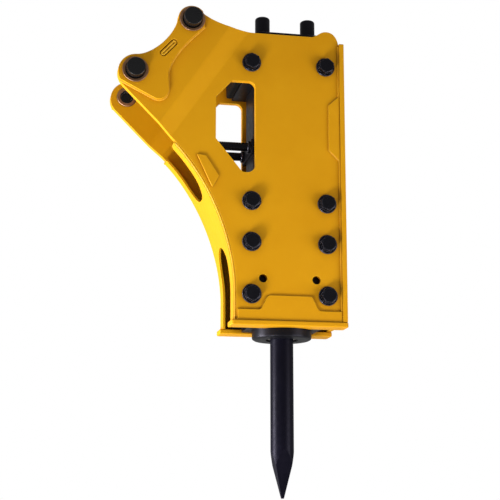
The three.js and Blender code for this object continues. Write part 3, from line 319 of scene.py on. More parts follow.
# Black plastic: the grey edge colour is a painted highlight.
PLUG_PLASTIC = make_finish(
    "moulded_black_plastic", (0.006, 0.006, 0.007, 1), (0.004, 0.004, 0.005, 1), (0.45, 0.45, 0.48, 1),
    0.24, grain=700.0, edge_radius=0.0012, edge_share=0.6, specular=0.4)
DAMPER_RUBBER = make_finish(
    "damper_rubber", (0.0045, 0.0045, 0.0045, 1), (0.003, 0.003, 0.003, 1), (0.02, 0.02, 0.02, 1), 0.68,
    grain=800.0, depth=0.0002, specular=0.12)
TOOL_STEEL = make_finish(
    "black_tool_steel", (0.005, 0.0045, 0.0095, 1), (0.003, 0.003, 0.006, 1), (0.06, 0.055, 0.085, 1), 0.36,
    metallic=0.1, grain=120.0, depth=0.00010, specular=0.12, tint=(0.80, 0.74, 1.0, 1),
    stretch=(1.0, 1.0, 0.2))
print(len(bpy.data.materials), "finishes")

# %% [markdown]
# ## Drawing helpers
#
# A flame-cut plate is an outline with a few straight runs, arcs and free curves. These helpers give
# such an outline as points: an arc from its centre, a curve from its end points and handles, and a
# polygon whose corners are rounded.

# %% Outlines


def arc(u, v, radius, start, end, step=5.0):
    """Points on an arc, from one angle in degrees to another."""
    count = max(2, round(abs(end - start) / step))
    angles = [math.radians(start + (end - start) * i / count) for i in range(count + 1)]
    return [(u + radius * math.cos(a), v + radius * math.sin(a)) for a in angles]


def curve(start, handle_a, handle_b, end, count=24):
    """Points on a curve between two points, pulled by two handles."""
    points = []
    for i in range(count + 1):
        t = i / count
        weights = ((1 - t) ** 3, 3 * t * (1 - t) ** 2, 3 * t * t * (1 - t), t ** 3)
        corners = (start, handle_a, handle_b, end)
        points.append(tuple(sum(w * p[k] for w, p in zip(weights, corners)) for k in (0, 1)))
    return points


def rounded(corners):
    """A closed outline through (u, v, radius) corners."""
    points = []
    for i, (u, v, radius) in enumerate(corners):
        here = Vector((u, v))
        if radius == 0:
            points.append((u, v))
            continue
        before = (Vector(corners[i - 1][:2]) - here).normalized()
        after = (Vector(corners[(i + 1) % len(corners)][:2]) - here).normalized()
        half = math.acos(max(-1.0, min(1.0, before.dot(after)))) / 2
        middle_line = (before + after).normalized()
        centre = here + middle_line * (radius / math.sin(half))
        facing = math.degrees(math.atan2(-middle_line.y, -middle_line.x))
        turn = before.x * after.y - before.y * after.x
        sweep = math.copysign(90 - math.degrees(half), turn)
        points += arc(centre.x, centre.y, radius, facing + sweep, facing - sweep, 10.0)
    return points


def rectangle(u0, u1, v0, v1, radius):
    return rounded([(u0, v0, radius), (u1, v0, radius), (u1, v1, radius), (u0, v1, radius)])


def hole(u, v, diameter):
    return arc(u, v, diameter / 2, 0, 360, 8.0)[:-1]


def joined(*runs):
    """Runs of points in one closed outline, without points that repeat."""
    points = []
    for run in runs:
        for point in run:
            if not points or math.dist(point, points[-1]) > 0.05:
                points.append(point)
    if math.dist(points[0], points[-1]) < 0.05:
        points.pop()
    return points


# %% [markdown]
# A plate is an outline with holes, given a thickness. Filling it as one flat sheet first, and only
# then bending it, copies how the real plate is made: it is cut flat and folded in a press. Lines cut
# across the sheet mark where it may bend. A small bevel on every cut edge catches the light, and
# weighted normals keep the broad faces flat.

# %% Pieces


def new_object(name, points, faces, finish):
    """A mesh object with merged points and outward faces."""
    mesh = bpy.data.meshes.new(name)
    mesh.from_pydata(points, [], faces)
    bm = bmesh.new()
    bm.from_mesh(mesh)
    bmesh.ops.remove_doubles(bm, verts=bm.verts[:], dist=1e-6)
    bmesh.ops.recalc_face_normals(bm, faces=bm.faces[:])
    bm.to_mesh(mesh)
    bm.free()
    mesh.materials.append(finish)
    return add_object(name, mesh)


def soften(piece, width, segments=3, sharp=32.0):
    """Rounds the sharp edges by a width in millimetres and keeps broad faces flat."""
    piece.data.shade_smooth()
    piece.data.set_sharp_from_angle(angle=math.radians(sharp))
    if width:
        bevel = piece.modifiers.new("rounded_edges", "BEVEL")
        bevel.width = width * MM
        bevel.segments = segments
        bevel.limit_method = "ANGLE"
        bevel.angle_limit = math.radians(sharp)
        bevel.miter_outer = "MITER_ARC"
        normals = piece.modifiers.new("flat_faces", "WEIGHTED_NORMAL")
        normals.keep_sharp = False
    return piece


def claim(piece, slot, *nodes, body=BODY):
    """Rides a piece on its body, in place of its frame nodes. The slot is not used."""
    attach(piece, body)
    if nodes:
        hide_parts(*nodes)
    return piece


def plate(name, outline, holes, thickness, lift, finish, bend_lines=()):
    """A sheet drawn in (u, v), cut along its bend lines and put in place by lift(u, v, w)."""
    bm = bmesh.new()
    for loop in (outline, *holes):
        ring = [bm.verts.new((u, v, 0.0)) for u, v in loop]
        for i, corner in enumerate(ring):
            bm.edges.new((corner, ring[(i + 1) % len(ring)]))
    bmesh.ops.triangle_fill(bm, use_beauty=True, edges=bm.edges[:])
    bmesh.ops.dissolve_limit(bm, angle_limit=0.002, verts=bm.verts[:], edges=bm.edges[:])
    for (u, v), (across_u, across_v) in bend_lines:
        bmesh.ops.bisect_plane(
            bm, geom=bm.verts[:] + bm.edges[:] + bm.faces[:], dist=1e-5,
            plane_co=(u, v, 0.0), plane_no=(across_u, across_v, 0.0))
    bm.verts.index_update()
    flat = [v.co.copy() for v in bm.verts]
    count = len(flat)
    sheets = [[v.index for v in face.verts] for face in bm.faces]
    rims = [[v.index for v in edge.verts] for edge in bm.edges if len(edge.link_faces) == 1]
    bm.free()
    points = [lift(p.x, p.y, w) for w in (0.0, thickness) for p in flat]
    faces = sheets + [[i + count for i in reversed(face)] for face in sheets]
    faces += [[a, b, b + count, a + count] for a, b in rims]
    return new_object(name, points, faces, finish)


def turned(name, profile, finish, centre=(0, 0, 0), aim="+z", sides=72):
    """A piece turned on a lathe, from (diameter, length) pairs along its axis."""
    cx, cy, cz = centre
    points = []
    faces = []
    for diameter, along in profile:
        for k in range(sides):
            angle = 2 * math.pi * k / sides
            a, b = diameter / 2 * math.cos(angle), diameter / 2 * math.sin(angle)
            offset = {
                "+z": (a, b, along), "-y": (a, -along, b), "+y": (a, along, b), "-x": (-along, a, b)}[aim]
            points.append(place(cx + offset[0], cy + offset[1], cz + offset[2]))
    for ring in range(len(profile) - 1):
        for k in range(sides):
            n = (k + 1) % sides
            first, second = ring * sides, (ring + 1) * sides
            faces.append([first + k, first + n, second + n, second + k])
    return new_object(name, points, faces, finish)


def upright(y, side=1):
    """A lift that stands a sheet drawn in (x, z) at a distance y, with its thickness beyond it."""
    return lambda x, z, w: place(x, side * (y + w), z)


def block(name, x, y, z, finish, corner=0.0):
    """An upright block between two x, two y and two z, with rounded upright corners."""
    outline = rectangle(x[0], x[1], y[0], y[1], corner)
    return plate(name, outline, [], z[1] - z[0], lambda u, v, w: place(u, v, z[0] + w), finish)


def shaped(piece, other, operation):
    """Joins a second piece to the first, or cuts it away, and keeps the result as a plain mesh."""
    change = piece.modifiers.new("shape", "BOOLEAN")
    change.operation = operation
    change.object = other
    change.solver = "EXACT"
    graph = bpy.context.evaluated_depsgraph_get()
    mesh = bpy.data.meshes.new_from_object(piece.evaluated_get(graph))
    piece.modifiers.clear()
    piece.data = mesh
    bpy.data.objects.remove(other)
    return piece


def both_sides(make):
    """Runs a maker for the near side plate (-1) and for the far one (+1)."""
    for side, label in ((-1, "near"), (1, "far")):
        make(side, label)


print("drawing helpers ready")

# %% [markdown]
# ## Side plates
#
# Each side plate is a 20 mm sheet. Its front edge follows a long curve up to the link eye, and its ear
# is set out by a shallow joggle, so that the carrier's arm fits between the ears while the hammer body
# is held tight below. The joggle is a function of the distance across the bend lines: flat, a straight
# ramp with eased ends, and flat again. Cutting the sheet along nine lines gives the ramp its shape.

# %% Measures of the housing
(_, (EAR_FACE, INNER), _) = span("side_plate_near")
EAR_FACE, INNER = -EAR_FACE, -INNER
PLATE = 20.0
FACE = INNER + PLATE
FLARE = EAR_FACE - FACE
_, (_, FRONT_PLATE_Y), (SHELL_BOTTOM, _) = span("front_plate")
SHELL_FRONT = 173.0  # tool axis to the side plates' front edge
SHELL_REAR = 170.0
SHELL_TOP = 872.0
HUMP = 21.5  # height of the hump at the rear above the top edge
GAP = 0.3  # between parts that touch
BEND_SLOPE = math.radians(56)
BEND_START = 596.0  # from the drawing's zero to the first bend line, across the line
BEND_RUN = 64.0
BEND_LINES = 9
arm_x, _, arm_z = span("arm_bush_near")
link_x, _, link_z = span("link_bush_near")
ARM_EYE = (middle(arm_x), middle(arm_z))
LINK_EYE = (middle(link_x), middle(link_z))
BUSH_BODY = 67.6
FRONT_CURVE = ((-173, 0), (-173, 180), (-261, 380), (-383, 497))
BOLT_X = 124.0
BOLT_ROWS = (0, 168, 302, 768)
BOLT_SPOTS = [(side * BOLT_X, z) for z in BOLT_ROWS for side in (-1, 1)]
BOLT_HOLE = 32.0
ACCESS_SPOTS = ((-87, 51), (87, 51))
ACCESS_HOLE = 27.0
print("eyes at", [round(v, 1) for v in ARM_EYE + LINK_EYE], "ear face", round(EAR_FACE, 1))

# %% Outline of a side plate
ARM_LOBE = 46
LINK_LOBE = 60
LINK_LOBE_CENTRE = (LINK_EYE[0] + 5, LINK_EYE[1] - 7)


def eye_edge(first_angle):
    """The edge of an ear round both eyes, from below the link eye to the right of the arm eye."""
    link_u, link_v = LINK_LOBE_CENTRE
    arm_u, arm_v = ARM_EYE
    top = (link_u, link_v + LINK_LOBE)
    return joined(
        arc(link_u, link_v, LINK_LOBE, first_angle, 90),
        curve(top, (link_u + 47, top[1] + 3), (arm_u - 60, arm_v - 68), (arm_u - ARM_LOBE, arm_v)),
        arc(arm_u, arm_v, ARM_LOBE, 180, 40))


def side_plate_outline():
    front = curve(*FRONT_CURVE, 40)
    away = Vector(LINK_LOBE_CENTRE) - Vector(front[-1])
    heading = math.degrees(math.atan2(away.y, away.x) + math.asin(LINK_LOBE / away.length))
    edge = eye_edge(heading + 90)
    crest = SHELL_TOP + HUMP
    shoulder = (-111, SHELL_TOP)
    rear_end = (SHELL_REAR, SHELL_TOP - 22)
    return joined(
        [(-SHELL_FRONT, SHELL_BOTTOM)], front, edge,
        curve(edge[-1], (ARM_EYE[0] + 63, SHELL_TOP + 28), (ARM_EYE[0] + 125, SHELL_TOP + 1), shoulder),
        curve((78, SHELL_TOP), (98, SHELL_TOP + 2), (106, crest), (130, crest), 14),
        curve((130, crest), (152, crest), (SHELL_REAR - 4, SHELL_TOP + 4), rear_end, 14),
        [(SHELL_REAR, SHELL_BOTTOM)])


WINDOW = rounded([
    (-111, 396, 28), (-154, 396, 14), (-241, 504, 5), (-241, 645, 4), (-189, 703, 5), (-111, 703, 22)])


def joggle(x, z):
    """How far the sheet is set out at a point, from 0 on the body to FLARE on the ear."""
    across = -(x * math.sin(BEND_SLOPE) - z * math.cos(BEND_SLOPE)) - BEND_START
    t = max(0.0, min(1.0, across / BEND_RUN))
    return FLARE * (0.85 * t + 0.15 * t * t * (3 - 2 * t))


def bend_lines():
    """Lines across the joggle, as a point on each and the direction across it."""
    across = (math.sin(BEND_SLOPE), -math.cos(BEND_SLOPE))
    places = [-BEND_START - BEND_RUN * i / (BEND_LINES - 1) for i in range(BEND_LINES)]
    return [((across[0] * p, across[1] * p), across) for p in places]


def make_side_plate(side, label):
    holes = [WINDOW]
    holes += [hole(u, v, BUSH_BODY) for u, v in (ARM_EYE, LINK_EYE)]
    holes += [hole(x, z, BOLT_HOLE) for x, z in BOLT_SPOTS]
    holes += [hole(x, z, ACCESS_HOLE) for x, z in ACCESS_SPOTS]

    def lift(x, z, w):
        return place(x, side * (INNER + joggle(x, z) + w), z)

    name = f"bent_side_plate_{label}"
    piece = plate(name, side_plate_outline(), holes, PLATE, lift, YELLOW_PAINT, bend_lines())
    claim(soften(piece, 2.2), "housing_paint", f"side_plate_{label}")


both_sides(make_side_plate)
print("side plates:", len(side_plate_outline()), "points in the outline")

# %% [markdown]
# ## Plates welded to the side plates
#
# A doubler thickens each ear round its eyes, with a slot through it that is filled with weld. A foot
# pad spreads the load of the lowest bolts, a small pad backs the rear edge, another the front edge,
# and a flange closes each side at the bottom. All of them are flat, so `plate` makes every one.

# %% Doublers and pads
DOUBLER = 12.0
PAD = 6.0
SLOT = (72, 22)  # length and width of the slot between the eyes
SLOT_TURN = 48.0  # degrees
FOOT_OF_LINK_EYE = 180 * 1.16  # degrees, where the doubler leaves the eye's edge
SLOT_CENTRE = ((ARM_EYE[0] + LINK_EYE[0]) / 2 + 15, (ARM_EYE[1] + LINK_EYE[1]) / 2 - 11)


def doubler_edge():
    """The doubler's free edge, from the arm eye down to the lower corner and back to the link eye."""
    (a, b), (u, v) = ARM_EYE, LINK_EYE
    return joined(
        curve((a + 42, b - 22), (a, b - 66), (a - 62, b - 118), (u + 106, v - 5), 20),
        curve((u + 109, v - 60), (u + 103, v - 96), (u + 78, v - 98), (u + 62, v - 91), 12))


def turned_slot(length, width):
    """A round-ended slot that leans along the line between the eyes."""
    c, s = math.cos(math.radians(SLOT_TURN)), math.sin(math.radians(SLOT_TURN))
    flat = rectangle(-length / 2, length / 2, -width / 2, width / 2, width / 2 - 0.1)
    return [(SLOT_CENTRE[0] + u * c - v * s, SLOT_CENTRE[1] + u * s + v * c) for u, v in flat]


def make_doubler(side, label):
    outline = joined(eye_edge(FOOT_OF_LINK_EYE), doubler_edge())
    holes = [hole(u, v, BUSH_BODY) for u, v in (ARM_EYE, LINK_EYE)] + [turned_slot(*SLOT)]
    lift = upright(EAR_FACE + GAP, side)
    piece = plate(f"pin_eye_plate_{label}", outline, holes, DOUBLER, lift, YELLOW_PAINT)
    claim(soften(piece, 2.2), "housing_paint", f"eye_doubler_{label}")


FOOT_PAD = rounded([
    (-169, -82, 0), (168, -82, 0), (168, -50, 1), (92, -50, 16), (70, -4, 8), (-72, -4, 14), (-95, -50, 14),
    (-169, -50, 1)])
REAR_PAD = rounded([(168, 448, 1), (168, 668, 1), (133, 636, 8), (133, 482, 8)])
FRONT_PAD = rounded([(-304, 447, 3), (-274, 444, 10), (-230, 378, 6), (-252, 338, 3)])


def flat_pad(name, outline, side, node=None):
    piece = plate(name, outline, [], PAD, upright(FACE + GAP, side), YELLOW_PAINT)
    claim(soften(piece, 1.6), "housing_paint", *([node] if node else []))


def make_pads(side, label):
    flat_pad(f"foot_plate_{label}", FOOT_PAD, side, f"foot_pad_{label}")
    flat_pad(f"rear_edge_plate_{label}", REAR_PAD, side, f"rear_pad_{label}")
    flat_pad(f"front_edge_plate_{label}", FRONT_PAD, side)


both_sides(make_doubler)
both_sides(make_pads)
print("pads and doublers made")

# %% Flanges under the side plates
NOSE = 194.0
NOSE_ROOM = 4.0
FLANGE_CORNER = 8.0


def make_flange(side, label):
    (left, right), (y0, y1), (bottom, top) = span(f"bottom_flange_{label}")
    inner, outer = sorted((abs(y0), abs(y1)))
    radius = NOSE / 2 + NOSE_ROOM
    reach = math.degrees(math.acos(inner / radius))
    notch = arc(0, 0, radius, 90 - reach, 90 + reach, 4)
    outline = joined(
        arc(left + FLANGE_CORNER, outer - FLANGE_CORNER, FLANGE_CORNER, 90, 180, 15), [(left, inner)],
        list(reversed(notch)), [(right, inner)],
        arc(right - FLANGE_CORNER, outer - FLANGE_CORNER, FLANGE_CORNER, 0, 90, 15))
    piece = plate(f"flange_plate_{label}", outline, [], top - bottom,
                  lambda x, y, w: place(x, side * y, bottom + w), YELLOW_PAINT)
    claim(soften(piece, 3.4, 4), "housing_paint", f"bottom_flange_{label}")


both_sides(make_flange)
print("flanges made")

# %% [markdown]
# ## Front plate
#
# The front plate closes the housing on the carrier side. It is an 8 mm sheet, rolled to the same
# curve as the side plates' front edges, with one slot open at the top for the hoses and one open at
# the bottom for dirt to fall out. It is drawn flat as (y, z) and cut across at every 12 mm of height,
# and each point is then moved onto the curve, the outer face along the curve's own normal.

# %% Front plate
FRONT_LINE = joined([(-SHELL_FRONT, SHELL_BOTTOM)], curve(*FRONT_CURVE, 120))
FRONT_PLATE = 8.0
ROLL_STEP = 12  # height between two cuts across the sheet
UPPER_SLOT = (75, 330, 64)  # half width, bottom and corner radius of the slot for the hoses
LOWER_SLOT = (69, 172, 68)  # half width, top and corner radius of the slot for dirt
FRONT_PLATE_END = FRONT_CURVE[-1][1] - 15  # the sheet stops short of the curve's end


def on_front_curve(z):
    """The front edge of the side plates at a height, and the direction out of it."""
    for (x0, z0), (x1, z1) in zip(FRONT_LINE, FRONT_LINE[1:]):
        if z <= z1 or (x1, z1) == FRONT_LINE[-1]:
            t = (z - z0) / (z1 - z0)
            return x0 + (x1 - x0) * t, Vector((z0 - z1, x1 - x0)).normalized()


def front_point(y, z, out):
    """A point on the front plate's side, `out` millimetres away from the side plates' edge."""
    x, normal = on_front_curve(z)
    return place(x + normal.x * out, y, z + normal.y * out)


half = FRONT_PLATE_Y
top, low = FRONT_PLATE_END, SHELL_BOTTOM + 0.1
wide, upper_end, upper_round = UPPER_SLOT
narrow, lower_end, lower_round = LOWER_SLOT
outline = rounded([
    (-half, low, 0), (-narrow, low, 0), (-narrow, lower_end, lower_round),
    (narrow, lower_end, lower_round), (narrow, low, 0), (half, low, 0),
    (half, top, 0), (wide, top, 0), (wide, upper_end, upper_round),
    (-wide, upper_end, upper_round), (-wide, top, 0), (-half, top, 0)])
lines = [((0, z), (0, 1)) for z in range(8, 496, ROLL_STEP)]
piece = plate("rolled_front_plate", outline, [], FRONT_PLATE,
              lambda y, z, w: front_point(y, z, GAP + w), YELLOW_PAINT, lines)
claim(soften(piece, 1.8), "housing_paint", "front_plate")
print("front plate made")

# %% Rear plate
REAR_WINDOW = 124.0
REAR_WINDOW_CORNER = 24.0
REAR_WINDOW_ROWS = ((430, 690), (90, 320))
(x0, x1), (y0, y1), (z0, z1) = span("rear_plate")
half = REAR_WINDOW / 2
windows = [rectangle(-half, half, low, high, REAR_WINDOW_CORNER) for low, high in REAR_WINDOW_ROWS]
piece = plate("flat_rear_plate", rectangle(y0, y1, z0, z1, 4), windows, x1 - x0,
              lambda y, z, w: place(x0 + w, y, z), YELLOW_PAINT)
claim(soften(piece, 1.8), "housing_paint", "rear_plate")
print("rear plate made")

# %% [markdown]
# ## Weld beads
#
# Every seam of the housing is a fillet weld: a bead laid in the corner between two plates, with the
# fine crescents that each drop of metal leaves. A bead repeats one short shape along a path, so it is
# made with Geometry Nodes. The path is resampled, a circle is swept along it, and its size is driven
# by the length along the path: a saw-tooth for the crescents and a slow noise for the welder's hand.

# %% Geometry tree helpers
SOCKETS = {float: "NodeSocketFloat", int: "NodeSocketInt", bpy.types.Material: "NodeSocketMaterial"}


def new_tree(name, sizes):
    """A geometry tree with one named input for each size, and the sockets that give them."""
    tree = bpy.data.node_groups.new(name, "GeometryNodeTree")
    tree.interface.new_socket("Geometry", in_out="INPUT", socket_type="NodeSocketGeometry")
    tree.interface.new_socket("Geometry", in_out="OUTPUT", socket_type="NodeSocketGeometry")
    for label, kind in sizes.items():
        tree.interface.new_socket(label, in_out="INPUT", socket_type=SOCKETS[kind])
    return tree, add_node(tree, "NodeGroupInput").outputs


def close_tree(tree, geometry, finish):
    """Ends a tree: real geometry, one finish, smooth faces."""
    smooth = add_node(tree, "GeometryNodeSetShadeSmooth", {"Geometry": geometry, "Shade Smooth": True})
    real = add_node(tree, "GeometryNodeRealizeInstances", {"Geometry": smooth.outputs[0]})
    done = add_node(tree, "GeometryNodeSetMaterial", {"Geometry": real.outputs[0], "Material": finish})
    add_node(tree, "NodeGroupOutput", {"Geometry": done.outputs[0]})


def sums(tree):
    """A short way to add arithmetic to one tree."""
    return lambda *terms: math_node(tree, *terms)


def grown(name, source, tree, sizes, sharp=None):
    """Runs a tree on a source and keeps the result as a plain mesh."""
    seedling = add_object(name + "_source", source)
    modifier = seedling.modifiers.new(tree.name, "NODES")
    modifier.node_group = tree
    for item in tree.interface.items_tree:
        if item.in_out == "INPUT" and item.name in sizes:
            modifier[item.identifier] = sizes[item.name]
    graph = bpy.context.evaluated_depsgraph_get()
    mesh = bpy.data.meshes.new_from_object(seedling.evaluated_get(graph))
    bpy.data.objects.remove(seedling)
    mesh.name = name
    if sharp is not None:
        mesh.set_sharp_from_angle(angle=math.radians(sharp))
    return add_object(name, mesh)


# %% The weld bead tree


def make_bead_tree():
    tree, given = new_tree("weld_bead", {
        "Bead radius": float, "Drop length": float, "Drop depth": float, "Unevenness": float,
        "Finish": bpy.types.Material})
    do = sums(tree)
    step = do("DIVIDE", given["Drop length"], 5.0)
    path = add_node(tree, "GeometryNodeResampleCurve", {
        "Curve": given["Geometry"], "Length": step}, mode="LENGTH")
    along = add_node(tree, "GeometryNodeSplineParameter").outputs["Length"]
    drop = do("FRACT", do("DIVIDE", along, given["Drop length"]))
    crescent = do("MULTIPLY", do("MULTIPLY", drop, drop), given["Drop depth"])
    where = add_node(tree, "GeometryNodeInputPosition").outputs[0]
    hand = add_node(tree, "ShaderNodeTexNoise", {"Vector": where, "Scale": 55.0, "Detail": 1.0}).outputs[0]
    wander = do("MULTIPLY", do("SUBTRACT", hand, 0.5), given["Unevenness"])
    size = do("ADD", do("SUBTRACT", 1.0, crescent), wander)
    ring = add_node(tree, "GeometryNodeCurvePrimitiveCircle", {
        "Resolution": 10, "Radius": given["Bead radius"]})
    bead = add_node(tree, "GeometryNodeCurveToMesh", {
        "Curve": path.outputs[0], "Profile Curve": ring.outputs["Curve"], "Scale": size, "Fill Caps": True})
    close_tree(tree, bead.outputs[0], given["Finish"])
    return tree


BEAD_TREE = make_bead_tree()


def bead_paths(name, paths):
    """Many open paths as one curve."""
    data = bpy.data.curves.new(name, "CURVE")
    data.dimensions = "3D"
    for points in paths:
        spline = data.splines.new("POLY")
        spline.points.add(len(points) - 1)
        for target, point in zip(spline.points, points):
            target.co = (*point, 1.0)
    return data


def lay_beads(name, paths, radius, drop=5.5, depth=0.16):
    piece = grown(name, bead_paths(name, paths), BEAD_TREE, {
        "Bead radius": radius * MM, "Drop length": drop * MM, "Drop depth": depth, "Unevenness": 0.35,
        "Finish": WELD_PAINT})
    claim(piece, "housing_paint")
    print(name, len(piece.data.polygons), "faces")


# %% Beads along the housing's seams
SEAM_BEAD = 4.2
PAD_BEAD = 2.2
SLOT_RING = (62, 9)
SLOT_RING_LIFT = 7.5


def seams_of_side(side):
    """The paths of the larger beads on one side of the housing, with the ring that fills the slot."""
    face = side * (FACE + 1.0)
    ear = side * (EAR_FACE + 1.5)
    heights = [SHELL_BOTTOM + 2 + i * 10 for i in range(57)] + [FRONT_PLATE_END]
    front = [front_point(side * (FRONT_PLATE_Y + 3.0), z, 3.0) for z in heights]
    across = [80 + i * (FRONT_PLATE_Y - 74) / 8 for i in range(9)]
    front_end = [front_point(side * y, FRONT_PLATE_END + 2, 4.0) for y in across]
    rear = [place(SHELL_REAR - 1.5, face, SHELL_BOTTOM + 2), place(SHELL_REAR - 1.5, face, SHELL_TOP - 30)]
    doubler = [place(x, ear, z) for x, z in doubler_edge()]
    doubler_low = [place(x, ear, z) for x, z in (doubler_edge()[-1], eye_edge(FOOT_OF_LINK_EYE)[0])]
    foot = SHELL_BOTTOM + 2
    flange = [place(-SHELL_FRONT + 2, face, foot), place(SHELL_REAR - 2, face, foot)]
    around = turned_slot(*SLOT_RING)
    slot = [place(x, side * (EAR_FACE + SLOT_RING_LIFT), z) for x, z in around + around[:1]]
    return [front, front_end, rear, doubler, doubler_low, flange, slot]


def pad_seams(side):
    """The finer beads along the foot pad and the rear pad."""
    face = side * (FACE + 1.2)
    foot = [place(x, face, z) for x, z in FOOT_PAD[3:-2]]
    rear = [place(x, face, z) for x, z in REAR_PAD[2:]] + [place(REAR_PAD[0][0], face, REAR_PAD[0][1])]
    return [foot, rear]


lay_beads("housing_seam_welds", seams_of_side(-1) + seams_of_side(1), SEAM_BEAD)
lay_beads("pad_welds", pad_seams(-1) + pad_seams(1), PAD_BEAD, drop=4.0, depth=0.10)

# %% [markdown]
# ## Side bolts and nuts
#
# Eight bolts clamp the housing to the hammer body. The heads are hexagons with a turned chamfer on a
# thick washer. They repeat exactly and differ only in how far each was turned when it got tight. One
# tree makes a head: a hexagonal prism cut by a cone, a washer under it, and a stud that shows past a
# nut. It copies the head to each spot and turns each copy by a random angle from a fixed seed.

# %% The bolt tree
BOLT_SIZES = ("Across flats", "Head height", "Washer diameter", "Washer thickness", "Stud diameter",
              "Stud past head", "Shank length")


def standing(tree, mesh, height):
    """Lifts a node's mesh along its own axis."""
    lift = add_node(tree, "ShaderNodeCombineXYZ", {"Z": height})
    moved = add_node(tree, "GeometryNodeTransform", {"Geometry": mesh, "Translation": lift.outputs[0]})
    return moved.outputs[0]


def node_rod(tree, sides, radius, length):
    return add_node(tree, "GeometryNodeMeshCylinder", {
        "Vertices": sides, "Radius": radius, "Depth": length}).outputs["Mesh"]


def make_bolt_tree():
    tree, given = new_tree("bolt_head", {
        **dict.fromkeys(BOLT_SIZES, float), "Tilt": float, "Turn seed": int, "Finish": bpy.types.Material})
    do = sums(tree)
    half = do("DIVIDE", given["Across flats"], 2.0)
    height, thick = given["Head height"], given["Washer thickness"]
    tall = do("MULTIPLY", height, 1.2)
    prism = node_rod(tree, 6, do("DIVIDE", half, math.cos(math.pi / 6)), tall)
    prism = standing(tree, prism, do("DIVIDE", tall, 2.0))
    crown = do("MULTIPLY", half, 0.94)
    skirt = do("ADD", crown, do("MULTIPLY", height, 2.0))
    cone = add_node(tree, "GeometryNodeMeshCone", {
        "Vertices": 64, "Radius Top": crown, "Radius Bottom": skirt, "Depth": tall}).outputs["Mesh"]
    cone = standing(tree, cone, do("MULTIPLY", height, -0.2))
    head = add_node(tree, "GeometryNodeMeshBoolean", {
        "Mesh 2": prism}, operation="INTERSECT", solver="EXACT")
    tree.links.new(cone, head.inputs["Mesh 2"])
    head = standing(tree, head.outputs["Mesh"], thick)
    washer_radius = do("DIVIDE", given["Washer diameter"], 2.0)
    rim = do("MULTIPLY", thick, 0.7)
    washer = standing(tree, node_rod(tree, 64, washer_radius, rim), do("DIVIDE", rim, 2.0))
    lip = do("SUBTRACT", thick, rim)
    bevel = add_node(tree, "GeometryNodeMeshCone", {
        "Vertices": 64, "Radius Top": do("SUBTRACT", washer_radius, lip),
        "Radius Bottom": washer_radius, "Depth": lip}).outputs["Mesh"]
    bevel = standing(tree, bevel, rim)
    crest = do("ADD", height, thick)
    top = do("ADD", crest, given["Stud past head"])
    length = do("ADD", top, given["Shank length"])
    stud = node_rod(tree, 32, do("DIVIDE", given["Stud diameter"], 2.0), length)
    stud = standing(tree, stud, do("SUBTRACT", top, do("DIVIDE", length, 2.0)))
    whole = add_node(tree, "GeometryNodeJoinGeometry")
    for part in (head, washer, bevel, stud):
        tree.links.new(part, whole.inputs[0])
    spots = add_node(tree, "GeometryNodeMeshToPoints", {"Mesh": given["Geometry"]})
    tilt = add_node(tree, "ShaderNodeCombineXYZ", {"X": given["Tilt"]})
    copies = add_node(tree, "GeometryNodeInstanceOnPoints", {
        "Points": spots.outputs[0], "Instance": whole.outputs[0], "Rotation": tilt.outputs[0]})
    turn = add_node(tree, "FunctionNodeRandomValue", {
        2: 0.0, 3: math.pi / 3, "Seed": given["Turn seed"]}, data_type="FLOAT")
    spin = add_node(tree, "ShaderNodeCombineXYZ", {"Z": turn.outputs[1]})
    turned_copies = add_node(tree, "GeometryNodeRotateInstances", {
        "Instances": copies.outputs[0], "Rotation": spin.outputs[0], "Local Space": True})
    close_tree(tree, turned_copies.outputs[0], given["Finish"])
    return tree


BOLT_TREE = make_bolt_tree()


def fit_bolts(name, spots, tilt, sizes, seed):
    """Copies of one bolt on a list of spots, as one plain mesh. The sizes follow BOLT_SIZES, in mm."""
    points = bpy.data.meshes.new(name)
    points.from_pydata([place(*spot) for spot in spots], [], [])
    lengths = {label: size * MM for label, size in zip(BOLT_SIZES, sizes)}
    return grown(name, points, BOLT_TREE, {
        **lengths, "Tilt": tilt, "Turn seed": seed, "Finish": BLACK_OXIDE}, sharp=25)


# %% Side bolts, heads on the near side and nuts on the far side
NEAR, FAR, UP = math.pi / 2, -math.pi / 2, 0.0
HEAD = (46, 19, 62, 5, 30, -6, 2 * FACE - 20)
NUT = (46, 24, 62, 5, 29, 5.5, 10)
COVER_SCREW = (13, 6, 16, 1, 8, -1, 8)
NUMBERS = range(1, len(BOLT_SPOTS) + 1)
heads = fit_bolts("side_bolt_heads", [(x, -FACE - GAP, z) for x, z in BOLT_SPOTS], NEAR, HEAD, 5)
claim(heads, "black_oxide", *[f"side_bolt_{i}" for i in NUMBERS])
nuts = fit_bolts("side_bolt_nuts", [(x, FACE + GAP, z) for x, z in BOLT_SPOTS], FAR, NUT, 8)
claim(nuts, "black_oxide", *[f"side_nut_{i}" for i in NUMBERS])
print("bolts:", len(heads.data.polygons), "faces; nuts:", len(nuts.data.polygons), "faces")

# %% [markdown]
# ## Bushes and plugs in the eyes
#
# A hardened bush is pressed into each ear, with a flange against the doubler, and a black plug keeps
# it clean until the carrier's pin goes in. Both come off a lathe, so both are turned profiles. The
# plug can be pulled out, so it rides on its own body.

# %% Bushes and plugs


def reach(node):
    """How near to the middle plane a node starts, and how far from it the node ends."""
    _, (y0, y1), _ = span(node)
    return sorted((abs(y0), abs(y1)))


